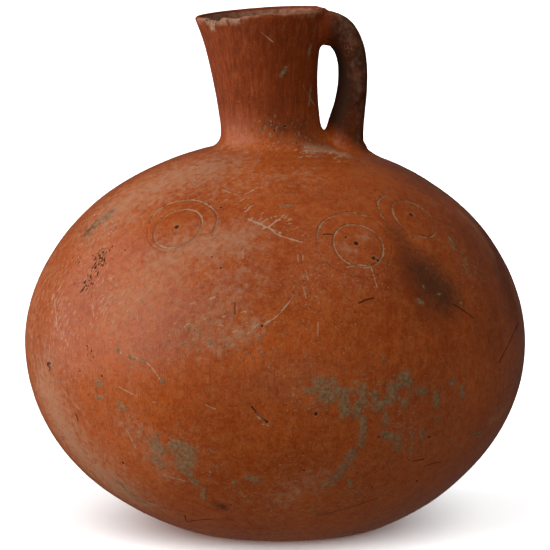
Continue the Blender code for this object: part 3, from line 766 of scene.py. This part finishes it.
def inside_profile():
    """Half outline of the hollow, from the lip down to the middle of the floor."""
    points = []
    for step in range(INSIDE_POINTS["neck"] + 1):
        share = 1 - step / INSIDE_POINTS["neck"]
        height = blend(WAIST_HEIGHT, LIP_START, share)
        points.append((float(neck_radius(height)) - blend(NECK_WALL, LIP_WALL, share), height))
    throat = NECK_RADIUS - NECK_WALL
    radius = BELLY_RADIUS - BODY_WALL
    start = throat + NECK_FILLET_REACH
    upper = ellipse_run(radius, UPPER_DEPTH - BODY_WALL, start, radius, INSIDE_POINTS["upper"])
    corner = (throat, upper[0][1])
    points += bezier(((throat, WAIST_HEIGHT), corner, corner, upper[0]), INSIDE_POINTS["throat"])
    points += upper[1:]
    depth = LOWER_DEPTH - BODY_WALL
    floor_radius = radius * math.sqrt(1 - ((BELLY_HEIGHT - FOOT_WALL) / depth) ** 2)
    points += ellipse_run(radius, -depth, radius, floor_radius + FOOT_SOFTENING, INSIDE_POINTS["lower"])
    return points + [(reach, FOOT_WALL) for reach in (floor_radius - FOOT_SOFTENING, floor_radius / 2, 0.0)]


def lip_points():
    """The rounded lip between the outside and the inside."""
    half = LIP_WALL / 2
    middle = float(neck_radius(LIP_START)) - half
    turns = [math.pi * step / LIP_POINTS for step in range(1, LIP_POINTS)]
    return [(middle + half * math.cos(turn), LIP_START + half * math.sin(turn)) for turn in turns]


def turned(profile, steps):
    """Closed form turned from a half outline that starts and ends on the middle line."""
    form = bmesh.new()
    corners = [form.verts.new((radius, 0.0, height)) for radius, height in profile]
    edges = [form.edges.new(pair) for pair in zip(corners, corners[1:])]
    bmesh.ops.spin(
        form,
        geom=corners + edges,
        cent=(0, 0, 0),
        axis=(0, 0, 1),
        angle=math.tau,
        steps=steps,
        use_merge=True,
    )
    bmesh.ops.remove_doubles(form, verts=form.verts, dist=1e-6)
    bmesh.ops.recalc_face_normals(form, faces=form.faces)
    return form


def lean_and_tip(form):
    """Leans the neck over and tips the mouth."""
    tip_start = RIM_HEIGHT - MOUTH_TILT_REACH
    for corner in form.verts:
        x, y, z = corner.co
        tipped = float(ease((z - tip_start) / (RIM_HEIGHT - tip_start)))
        corner.co = (x + float(lean(z)), y, z + MOUTH_SLOPE * x * tipped)


def plug_form():
    """Core that fills the upper jug to the middle of its wall, where the handle's ends stop."""
    half_wall = NECK_WALL / 2
    base = BELLY_HEIGHT + UPPER_DEPTH / 2
    skin = [(radius - half_wall, height - half_wall) for radius, height in outside_profile() if height > base]
    top = RIM_HEIGHT + HANDLE_THICKNESS
    return turned([(0.0, skin[0][1])] + skin + [(skin[-1][0], top), (0.0, top)], PLUG_STEPS)


def neck_side(height):
    """How far out the neck's wall stands on the handle's side."""
    return float(neck_radius(height) + lean(height))


def handle_stations():
    """Centre, thickness and width of the handle at stations from inside the neck to under the shoulder."""
    top = RIM_HEIGHT - HANDLE_TOP_DROP
    root = neck_side(top) - NECK_WALL / 2
    reach = neck_side(RIM_HEIGHT - HANDLE_GAP_DROP) + HANDLE_GAP + HANDLE_THICKNESS / 2
    foot = reach - HANDLE_FOOT_INSET
    bottom = BELLY_HEIGHT + UPPER_DEPTH * math.sqrt(1 - (foot / BELLY_RADIUS) ** 2)
    found = []
    for side, run in ((root, HANDLE_UPPER_RUN), (foot, HANDLE_LOWER_RUN)):
        for out, down, thick, wide in run:
            centre = Vector((blend(side, reach, out), 0.0, blend(top, bottom, down)))
            section = Vector((HANDLE_THICKNESS * thick, HANDLE_WIDTH * wide, 0.0))
            found.append((centre, section))
    return found


def between(stations, steps):
    """Smooth points through the stations, with their sections."""
    found = []
    for index in range(len(stations) - 1):
        four = [stations[min(max(index + k, 0), len(stations) - 1)] for k in (-1, 0, 1, 2)]
        p0, p1, p2, p3 = (station[0] for station in four)
        for step in range(steps):
            t = step / steps
            point = p1 * 2 + (p2 - p0) * t + (p0 * 2 - p1 * 5 + p2 * 4 - p3) * t**2
            point += (p1 * 3 - p0 - p2 * 3 + p3) * t**3
            found.append((point / 2, four[1][1].lerp(four[2][1], t)))
    return found + [stations[-1]]


def handle_form():
    """Oval strap swept from inside the neck to under the shoulder."""
    path = between(handle_stations(), HANDLE_STEPS)
    form = bmesh.new()
    rings = []
    for index, (centre, section) in enumerate(path):
        ahead = path[min(index + 1, len(path) - 1)][0]
        behind = path[max(index - 1, 0)][0]
        along = (ahead - behind).normalized()
        across = Vector((0, 1, 0))
        place = Matrix((across.cross(along), across, along)).transposed().to_4x4()
        place.translation = centre
        ring = bmesh.ops.create_circle(
            form,
            cap_ends=index in (0, len(path) - 1),
            segments=HANDLE_SIDES,
            radius=1.0,
            matrix=place @ Matrix.Diagonal((section.x / 2, section.y / 2, 1, 1)),
        )
        corners = set(ring["verts"])
        rings.append([edge for edge in form.edges if corners.issuperset(edge.verts)])
    for near, far in zip(rings, rings[1:]):
        bmesh.ops.bridge_loops(form, edges=near + far)
    turn = Matrix.Rotation(math.radians(HANDLE_TURN_DEG), 4, "Z")
    bmesh.ops.transform(form, matrix=turn, verts=form.verts)
    bmesh.ops.recalc_face_normals(form, faces=form.faces)
    for face in form.faces:
        face.material_index = HANDLE
    return form


def chip_cutters():
    """Rough lumps, joined into one form, that bite the rim."""
    rough = LUMP_ROUGHNESS
    upright = Vector((0, 0, 1))
    lumps = []
    for number, (azimuth, drop, sizes, bite) in enumerate(CHIPS):
        out = Vector(heading(azimuth))
        half = [size * MM for size in sizes]
        centre = out * (RIM_RADIUS - bite * MM + half[1])
        centre.z = RIM_HEIGHT + MOUTH_SLOPE * centre.x - drop * MM
        centre.x += float(lean(RIM_HEIGHT))
        place = Matrix((out.cross(upright), out, upright)).transposed().to_4x4()
        place.translation = centre
        form = bmesh.new()
        shape = Matrix.Diagonal((*half, 1))
        lump = bmesh.ops.create_icosphere(form, subdivisions=LUMP_SUBDIVISIONS, radius=1.0, matrix=shape)
        for corner in lump["verts"]:
            where = corner.co / (rough["size"] * MM) + Vector((number * rough["next lump"], 0, 0))
            height = noise.noise(where) * rough["height"]
            height += noise.noise(corner.co / (rough["fine size"] * MM)) * rough["fine height"]
            corner.co *= 1 + height * MM / corner.co.length
        bmesh.ops.transform(form, matrix=place, verts=lump["verts"])
        for face in form.faces:
            face.material_index = BROKEN
        lumps.append(as_object(form, "lump"))
    return combined(lumps[0], [("UNION", lump) for lump in lumps[1:]])


def as_object(form, name):
    mesh = bpy.data.meshes.new(name)
    form.to_mesh(mesh)
    form.free()
    made = bpy.data.objects.new(name, mesh)
    bpy.context.scene.collection.objects.link(made)
    for _ in (WALL, HANDLE, BROKEN):
        mesh.materials.append(None)
    return made


def combined(body, operations):
    """The body's form after its Booleans, and the helpers removed."""
    for operation, other in operations:
        modifier = body.modifiers.new(other.name, "BOOLEAN")
        modifier.operation = operation
        modifier.solver = "EXACT"
        modifier.object = other
    graph = bpy.context.evaluated_depsgraph_get()
    form = bmesh.new()
    form.from_object(body, graph)
    for helper in [body] + [other for _, other in operations]:
        bpy.data.meshes.remove(helper.data)
    return form


def tree_of(points):
    tree = kdtree.KDTree(len(points))
    for index, point in enumerate(points):
        tree.insert(point, index)
    tree.balance()
    return tree


def refine(form, tree, finest, growth, rounds, reach):
    """Cuts the edges that are longer than allowed: finest near the tree's points, more with the distance."""
    for _ in range(rounds):
        long_edges = []
        for edge in form.edges:
            a, b = (corner.co for corner in edge.verts)
            length = (a - b).length
            if length <= finest:
                continue
            distance = tree.find((a + b) / 2)[2]
            if distance < reach and length > finest + growth * max(0.0, distance - finest * REFINING_START):
                long_edges.append(edge)
        if not long_edges:
            return
        bmesh.ops.subdivide_edges(form, edges=long_edges, cuts=1, use_grid_fill=True, use_single_edge=True)
        bmesh.ops.triangulate(form, faces=[face for face in form.faces if len(face.verts) > 3])


def soften_seams(form):
    """Rounds the hollows where the handle runs into the neck and the shoulder; returns a tree of the seam."""
    seam = []
    for corner in form.verts:
        if {WALL, HANDLE} <= {face.material_index for face in corner.link_faces}:
            seam.append(corner.co.copy())
    tree = tree_of(seam)
    finest, growth, rounds, reach = SEAM_REFINING
    refine(form, tree, finest * MM, growth, rounds, reach * MM)
    for reach, times in SEAM_SMOOTHING:
        near = [corner for corner in form.verts if tree.find(corner.co)[2] < reach * MM]
        for _ in range(times):
            bmesh.ops.smooth_vert(
                form, verts=near, factor=0.5, use_axis_x=True, use_axis_y=True, use_axis_z=True,
            )
    return tree


def sight_lines(form):
    """Function that finds where the camera sees the form at a picture point."""
    tree = BVHTree.FromBMesh(form)
    ahead = (CAMERA_AIM - CAMERA_PLACE).normalized()
    right = ahead.cross(Vector((0, 0, 1))).normalized()
    up = right.cross(ahead)
    focal = LENS / SENSOR * PICTURE_SIDE
    middle = PICTURE_SIDE / 2

    def seen_at(picture):
        ray = ahead * focal + right * (picture[0] - middle) + up * (middle - picture[1])
        return tree.ray_cast(CAMERA_PLACE, ray.normalized())[0]

    return seen_at


def curve_points(corners, spacing):
    """Points at even steps along a smooth line through corners."""
    stations = [(Vector(corner).to_3d(), Vector()) for corner in corners]
    length = sum((a[0] - b[0]).length for a, b in zip(stations, stations[1:]))
    steps = max(1, math.ceil(length / spacing / max(1, len(stations) - 1)))
    return [point for point, _ in between(stations, steps)]


def path_on_form(seen_at, path, spacing):
    """Points on the form under a path of picture points, at a spacing in mm."""
    found = (seen_at(point) for point in curve_points(path, spacing / PIXEL_SIZE))
    return [hit for hit in found if hit]


def ring_on_body(azimuth, level, ring):
    """Points of an incised ring laid on the upper body."""
    middle_across, middle_up, radius, first, last = ring
    turn = math.radians(level)
    centre = BODY_MIDDLE + heading(azimuth) * BELLY_RADIUS * math.cos(turn)
    centre[2] += UPPER_DEPTH * math.sin(turn)
    right = heading(azimuth + 90)
    rise = np.cross(body_normals(centre[None])[0], right)
    found = []
    for step in range(int((last - first) / RING_STEP_DEG) + 1):
        angle = math.radians(first + step * RING_STEP_DEG)
        across = (middle_across + radius * math.cos(angle)) * MM
        up = (middle_up + radius * math.sin(angle)) * MM
        offset = centre + right * across + rise * up - BODY_MIDDLE
        skin = BODY_MIDDLE + offset / math.hypot(*offset[:2] / BELLY_RADIUS, offset[2] / UPPER_DEPTH)
        skin[0] += float(lean(skin[2]))
        found.append(Vector(skin))
    return found


def hidden_marks():
    """Small marks on the sides that the photo does not show, sparse and by chance."""
    chance = np.random.default_rng(HIDDEN_MARKS_SEED)
    found = []

    def at(azimuth, level):
        out = heading(azimuth) * BELLY_RADIUS * math.cos(level)
        depth = UPPER_DEPTH if level > 0 else LOWER_DEPTH
        height = BELLY_HEIGHT + depth * math.sin(level)
        return Vector((out[0] + float(lean(height)), out[1], height))

    for kind, (count, length, half, depth) in HIDDEN_MARKS.items():
        strength = HIDDEN_SOFT_STRENGTH if kind in SOFT_KINDS else 1.0
        for _ in range(count):
            azimuth = chance.uniform(*HIDDEN_AZIMUTHS)
            level = chance.uniform(*HIDDEN_LATITUDES)
            size = chance.uniform(*HIDDEN_SIZES) * MM
            turn = chance.uniform(0, math.pi)
            run = length * size / BELLY_RADIUS
            corners = []
            for share in (-0.5, 0.0, 0.5):
                bend = chance.uniform(-HIDDEN_BEND, HIDDEN_BEND) * run
                across = math.degrees(run * share * math.cos(turn) + bend)
                corners.append(at(azimuth + across, level + run * share * math.sin(turn) - bend))
            points = curve_points(corners, HIDDEN_SPACING * MM)
            found.append((kind, points, half * size, strength, depth * size))
    return found


def grouped_marks(seen_at):
    """The marks of each group, spread by chance about the group's middle line."""
    chance = np.random.default_rng(GROUPS_SEED)
    found = []
    for kind, count, spread, length, leaning, half, depth, *path in GROUPS.values():
        line = curve_points(path, 1.0)
        for _ in range(count):
            middle = line[chance.integers(len(line))]
            x = middle.x + chance.normal(0, GROUP_SPREAD) * spread
            y = middle.y + chance.normal(0, GROUP_SPREAD) * spread
            size = chance.uniform(*GROUP_SIZES)
            turn = math.radians(leaning + chance.normal(0, GROUP_LEAN_SPREAD))
            reach = length * size / PIXEL_SIZE / 2
            dx, dy = math.sin(turn) * reach, -math.cos(turn) * reach
            points = path_on_form(seen_at, ((x - dx, y - dy), (x + dx, y + dy)), GROUP_SPACING)
            found.append((kind, points, half * size * MM, 1.0, depth * size * MM))
    return found


def gather_marks(seen_at):
    """All marks as (kind, points, half width, strength, depth), in metres."""
    marks = []
    for kind, table in STROKES.items():
        for half, strength, depth, *path in table.values():
            spacing = half / 4 if kind in SOFT_KINDS else min(half / 2, WIDEST_SPACING)
            if kind == "groove":
                spacing = GROOVE_SPACING
            marks.append((kind, path_on_form(seen_at, path, spacing), half * MM, strength, depth * MM))
    for azimuth, level, *rings in CIRCLES.values():
        for ring in rings:
            points = ring_on_body(azimuth, level, ring)
            marks.append(("groove", points, GROOVE_HALF_WIDTH * MM, 1.0, GROOVE_DEPTH * MM))
        if len(rings) > 1:
            marks.append(("pit", ring_on_body(azimuth, level, DOT_RING), DOT_REACH * MM, 1.0, DOT_DEPTH * MM))
    for half, depth, *places in PITS.values():
        for number, place in enumerate(places):
            size = PIT_SIZES[number % len(PIT_SIZES)] * MM
            points = path_on_form(seen_at, [place], WIDEST_SPACING)
            marks.append(("pit", points, half * size, 1.0, depth * size))
    return [mark for mark in marks + grouped_marks(seen_at) + hidden_marks() if mark[1]]


def soft_field(places, marks):
    """The strongest soft mark at each place, from full on its line to none at twice its half width."""
    strongest = np.zeros(len(places))
    pressed = np.zeros(len(places))
    for _, line, half, strength, depth in marks:
        gap = np.full(len(places), np.inf)
        for point in line:
            gap = np.minimum(gap, np.linalg.norm(places - np.array(point), axis=1))
        strongest = np.maximum(strongest, strength * np.clip(1 - gap / (2 * half), 0, 1))
        pressed = np.maximum(pressed, depth * ease(1 - gap / (PRESSED_REACH * half)))
    return strongest, pressed


def sharp_field(places, index_tree, marks):
    """How near each place is to the marks (1 on a mark's line, 0.5 at its edge), and the depth to press."""
    nearness = np.zeros(len(places))
    pressed = np.zeros(len(places))
    points = [point for _, line, *_ in marks for point in line]
    data = [(half, strength, depth) for _, line, half, strength, depth in marks for _ in line]
    tree = tree_of(points)
    widest = 2 * max(entry[0] for entry in data)
    step = widest / 4
    cells = {(round(point.x / step), round(point.y / step), round(point.z / step)) for point in points}
    near = set()
    for cell in cells:
        near.update(index for _, index, _ in index_tree.find_range(Vector(cell) * step, widest + step))
    for index in near:
        for _, number, distance in tree.find_n(Vector(places[index]), NEAREST_POINTS):
            half, strength, depth = data[number]
            share = 1 - distance / (2 * half)
            if share > 0:
                nearness[index] = max(nearness[index], share - 0.5 * (1 - strength))
                push = depth * float(ease(1 - distance / (PRESSED_REACH * half)))
                pressed[index] = max(pressed[index], push)
    return nearness, pressed


def fields(places, marks):
    """The field of each kind of mark at the places, and the depth to press."""
    found = {}
    pressed = np.zeros(len(places))
    index_tree = tree_of([Vector(place) for place in places])
    for kind in KINDS:
        own = [mark for mark in marks if mark[0] == kind]
        if kind in SOFT_KINDS:
            found[kind], depth = soft_field(places, own)
        else:
            found[kind], depth = sharp_field(places, index_tree, own)
        pressed = np.maximum(pressed, depth)
    return found, pressed


def rows_of(mesh, what):
    """Places or normals of a mesh's vertices, a row for each."""
    values = np.empty(len(mesh.vertices) * 3)
    mesh.vertices.foreach_get(what, values)
    return values.reshape(-1, 3)


def touched_by(mesh, part):
    """1 at each vertex of a face that belongs to the part, and 0 elsewhere."""
    found = np.zeros(len(mesh.vertices))
    for face in mesh.polygons:
        if face.material_index == part:
            found[list(face.vertices)] = 1.0
    return found


def noise_at(places, size, shift=(0, 0, 0)):
    return np.array([noise.noise(Vector(place) / (size * MM) + Vector(shift)) for place in places])


def write_field(mesh, name, values):
    field = mesh.attributes.new(name, "FLOAT", "POINT")
    field.data.foreach_set("value", values.astype(np.float32))


def finish_surface(made, marks, seam):
    """Lays the outer skin on the exact body, presses valley and marks in, and writes the marks' fields."""
    mesh = made.data
    places = rows_of(mesh, "co")
    normals = rows_of(mesh, "normal")
    broken = touched_by(mesh, BROKEN)
    handle = touched_by(mesh, HANDLE)
    seam_gap = np.array([seam.find(Vector(place))[2] for place in places]) / MM

    straight = places.copy()
    straight[:, 0] -= lean(places[:, 2])
    height = straight[:, 2]
    offset = straight - BODY_MIDDLE
    level = np.hypot(offset[:, 0], offset[:, 1])
    size = np.hypot(level / BELLY_RADIUS, offset[:, 2] / depth_at(height))
    inner_size = 1 - INNER_BODY * BODY_WALL / BELLY_RADIUS
    below_neck = height < NECK_START - MM
    skin = below_neck & (height > FOOT_SOFTENING) & (handle == 0) & (size > inner_size)
    in_neck = ~below_neck & (handle == 0) & (level < neck_radius(height) - INNER_NECK * LIP_WALL)
    in_neck &= height < RIM_HEIGHT + MOUTH_SLOPE * places[:, 0] - INNER_LIP * LIP_WALL
    in_body = below_neck & (size < inner_size) & (height > FOOT_WALL / 2)
    raw = (in_body | in_neck).astype(float)
    outside = 1 - raw

    exact = BODY_MIDDLE + offset / np.maximum(size, 1e-6)[:, None]
    held = skin * ease((seam_gap - SEAM_STILL[0]) / SEAM_STILL[1])
    moved = straight + (exact - straight) * held[:, None]
    moved -= body_normals(exact) * (valley(exact) * skin)[:, None]
    moved[:, 0] += places[:, 0] - straight[:, 0]

    near_marks, pressed = fields(places, marks)
    waves = sum(wave * MM * noise_at(places, length, shift) for length, wave, shift in WAVES)
    awake = ease((places[:, 2] / MM - FOOT_STILL[0]) / FOOT_STILL[1])
    grain, roughness = BREAK_ROUGHNESS
    shift = waves * outside * awake - pressed * outside + noise_at(places, grain) * roughness * MM * broken
    moved += normals * shift[:, None]
    mesh.vertices.foreach_set("co", moved.ravel())

    for kind, values in near_marks.items():
        write_field(mesh, kind, values if kind == "smoke" else values * outside)
    write_field(mesh, "raw", raw)
    write_field(mesh, "handle", handle * ease((seam_gap - SEAM_FADE[0]) / SEAM_FADE[1]))
    write_field(mesh, "broken", broken)
    mesh.update()


def make_jug():
    wall = turned(outside_profile() + lip_points() + inside_profile(), WALL_STEPS)
    lean_and_tip(wall)
    plug = plug_form()
    lean_and_tip(plug)
    whole_handle = as_object(handle_form(), "whole_handle")
    handle = as_object(combined(whole_handle, (("DIFFERENCE", as_object(plug, "plug")),)), "handle")
    chips = as_object(chip_cutters(), "chips")
    form = combined(as_object(wall, "wall"), (("UNION", handle), ("DIFFERENCE", chips)))
    bmesh.ops.triangulate(form, faces=form.faces)
    seam = soften_seams(form)
    marks = gather_marks(sight_lines(form))
    for kinds, finest, rounds in REFINING:
        tree = tree_of([point for kind, points, *_ in marks if kind in kinds for point in points])
        refine(form, tree, finest * MM, REFINING_GROWTH, rounds, REFINING_REACH * MM)
    made = as_object(form, "burnished_jug")
    finish_surface(made, marks, seam)
    made.data.shade_smooth()
    made.data.materials.clear()
    for face in made.data.polygons:
        face.material_index = 0
    return made


def from_hex(code):
    """Linear colour of an sRGB hex code, with full alpha."""
    parts = [int(code[k:k + 2], 16) / 255 for k in (0, 2, 4)]
    return tuple(p / 12.92 if p <= 0.04045 else ((p + 0.055) / 1.055) ** 2.4 for p in parts) + (1.0,)


def add(tree, kind, links=None, **settings):
    """Adds a shader node. Links maps an input's name or number to a value or to another node's output."""
    node = tree.nodes.new(kind)
    for name, value in settings.items():
        setattr(node, name, value)
    for name, value in (links or {}).items():
        if isinstance(value, bpy.types.NodeSocket):
            tree.links.new(value, node.inputs[name])
        else:
            node.inputs[name].default_value = value
    return node


def masked(tree, place, values, mask):
    """Adds the nodes of one mask and returns its value."""
    value = 0.0
    if "grain" in mask:
        size, detail, roughness = mask["grain"]
        where = place
        if "drawn" in mask:
            turn = (0.0, math.radians(mask.get("lean", 0)), 0.0)
            links = {"Vector": place, "Rotation": turn, "Scale": (1.0, 1.0, mask["drawn"])}
            where = add(tree, "ShaderNodeMapping", links, vector_type="TEXTURE").outputs[0]
        links = {"Vector": where, "Scale": 1 / (size * MM), "Detail": detail, "Roughness": roughness}
        value = add(tree, "ShaderNodeTexNoise", links).outputs["Fac"]
    if "wobble" in mask:
        low, high = WOBBLE_RANGE
        links = {0: value, 1: low, 2: high, 3: -mask["wobble"], 4: mask["wobble"]}
        value = add(tree, "ShaderNodeMapRange", links).outputs[0]
    for source, share in mask.get("add", {}).items():
        links = {0: values[source], 1: share, 2: value}
        value = add(tree, "ShaderNodeMath", links, operation="MULTIPLY_ADD").outputs[0]
    for source, share in mask.get("most", {}).items():
        part = add(tree, "ShaderNodeMath", {0: values[source], 1: share}, operation="MULTIPLY").outputs[0]
        value = add(tree, "ShaderNodeMath", {0: part, 1: value}, operation="MAXIMUM").outputs[0]
    if "edge" in mask:
        low, high, first, last = (*mask["edge"], 0, 1)[:4]
        links = {0: value, 1: low, 2: high, 3: first, 4: last}
        value = add(tree, "ShaderNodeMapRange", links, interpolation_type="SMOOTHSTEP").outputs[0]
    if "times" in mask:
        links = {0: value, 1: values[mask["times"]]}
        value = add(tree, "ShaderNodeMath", links, operation="MULTIPLY").outputs[0]
    return value


def burnished_terracotta():
    """Terracotta: hand-built clay, pebble-burnished, low-fired, then worn, sooted and crusted with lime.

    The pebble gives a low, uneven sheen with fine upright strokes, and the open fire a colour that drifts
    from orange to brown. Dust, soot, lime and raw clay lie matt on it. Some of the soot, flush and dust is
    painted shade and painted light: shade on the handle, the neck, the right side, the grooves and inside
    the mouth, and a highlight and reflections on the left and along the edges.
    """
    material = bpy.data.materials.new("burnished terracotta")
    material.use_nodes = True
    tree = material.node_tree
    surface = tree.nodes["Principled BSDF"]
    place = add(tree, "ShaderNodeTexCoord").outputs["Object"]
    values = {"height": add(tree, "ShaderNodeSeparateXYZ", {0: place}).outputs[2]}
    for name in (*KINDS, "raw", "handle", "broken"):
        values[name] = add(tree, "ShaderNodeAttribute", attribute_name=name).outputs["Fac"]
    for name, mask in MASKS.items():
        values[name] = masked(tree, place, values, mask)
    colour = from_hex(CLAY_TONE)
    for name, share, tone, *change in LAYERS:
        laid = from_hex(tone)
        if change:
            links = {0: values[change[1]], 6: laid, 7: from_hex(change[0])}
            laid = add(tree, "ShaderNodeMix", links, data_type="RGBA").outputs[2]
        shown = add(tree, "ShaderNodeMath", {0: values[name], 1: share}, operation="MULTIPLY").outputs[0]
        colour = add(tree, "ShaderNodeMix", {0: shown, 6: colour, 7: laid}, data_type="RGBA").outputs[2]
    tree.links.new(colour, surface.inputs["Base Color"])
    links = {0: values["matt"], 2: values["gloss"], 3: MATT_ROUGHNESS}
    roughness = add(tree, "ShaderNodeMix", links, data_type="FLOAT").outputs[0]
    tree.links.new(roughness, surface.inputs["Roughness"])
    links = {"Height": values["relief"], "Distance": 1.0 * MM, "Strength": RELIEF_STRENGTH}
    tree.links.new(add(tree, "ShaderNodeBump", links).outputs[0], surface.inputs["Normal"])
    surface.inputs["Specular IOR Level"].default_value = SPECULAR_LEVEL
    surface.inputs["IOR"].default_value = REFRACTION
    return material


def pale_floor():
    """Studio floor: seamless white board, matt, so that only a soft shadow shows on it."""
    material = bpy.data.materials.new("white studio board")
    material.use_nodes = True
    surface = material.node_tree.nodes["Principled BSDF"]
    surface.inputs["Base Color"].default_value = from_hex(FLOOR_TONE)
    surface.inputs["Roughness"].default_value = FLOOR_ROUGHNESS
    return material


def make_floor():
    form = bmesh.new()
    bmesh.ops.create_grid(form, x_segments=1, y_segments=1, size=FLOOR_SIZE)
    mesh = bpy.data.meshes.new("floor")
    form.to_mesh(mesh)
    form.free()
    floor = bpy.data.objects.new("floor", mesh)
    mesh.materials.append(pale_floor())
    bpy.context.scene.collection.objects.link(floor)
    floor.visible_diffuse = False
    floor.visible_shadow = False
    floor.visible_glossy = False
    return floor


def add_light(name, kind, azimuth, elevation, distance, energy, lit, **settings):
    """Light at an azimuth and elevation from the jug's middle, which faces it and lights one piece only."""
    data = bpy.data.lights.new(name, kind)
    data.energy = energy
    for setting, value in settings.items():
        setattr(data, setting, value)
    light = bpy.data.objects.new(name, data)
    turn = math.radians(elevation)
    away = Vector(heading(azimuth)) * math.cos(turn) + Vector((0, 0, math.sin(turn)))
    light.location = LIT_MIDDLE + away * distance
    light.rotation_euler = away.to_track_quat("Z", "Y").to_euler()
    bpy.context.scene.collection.objects.link(light)
    receivers = bpy.data.collections.new(name + " lights")
    receivers.objects.link(lit)
    light.light_linking.receiver_collection = receivers
    return light


def add_studio(jug, floor):
    world = bpy.data.worlds.new("studio")
    world.use_nodes = True
    background = world.node_tree.nodes["Background"]
    background.inputs["Color"].default_value = (1.0, 1.0, 1.0, 1.0)
    background.inputs["Strength"].default_value = WORLD_STRENGTH
    bpy.context.scene.world = world
    for name, (azimuth, elevation, distance, width, height, energy, glossy) in SOFTBOXES.items():
        sides = {"shape": "RECTANGLE", "size": width, "size_y": height}
        softbox = add_light(name, "AREA", azimuth, elevation, distance, energy, jug, **sides)
        softbox.visible_glossy = glossy
    angle = math.radians(SUN_ANGLE_DEG)
    for azimuth, elevation, energy in FLOOR_SUNS:
        add_light("floor light", "SUN", azimuth, elevation, SUN_DISTANCE, energy, floor, angle=angle)


def add_camera():
    data = bpy.data.cameras.new("camera")
    data.lens = LENS
    data.sensor_width = SENSOR
    camera = bpy.data.objects.new("camera", data)
    camera.location = CAMERA_PLACE
    camera.rotation_euler = (CAMERA_AIM - CAMERA_PLACE).to_track_quat("-Z", "Y").to_euler()
    bpy.context.scene.collection.objects.link(camera)
    bpy.context.scene.camera = camera


jug = make_jug()
jug.data.materials.append(burnished_terracotta())
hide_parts("jug")
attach(jug, "root")
floor = make_floor()
add_studio(jug, floor)
add_camera()
bpy.context.scene.view_settings.view_transform = "Standard"
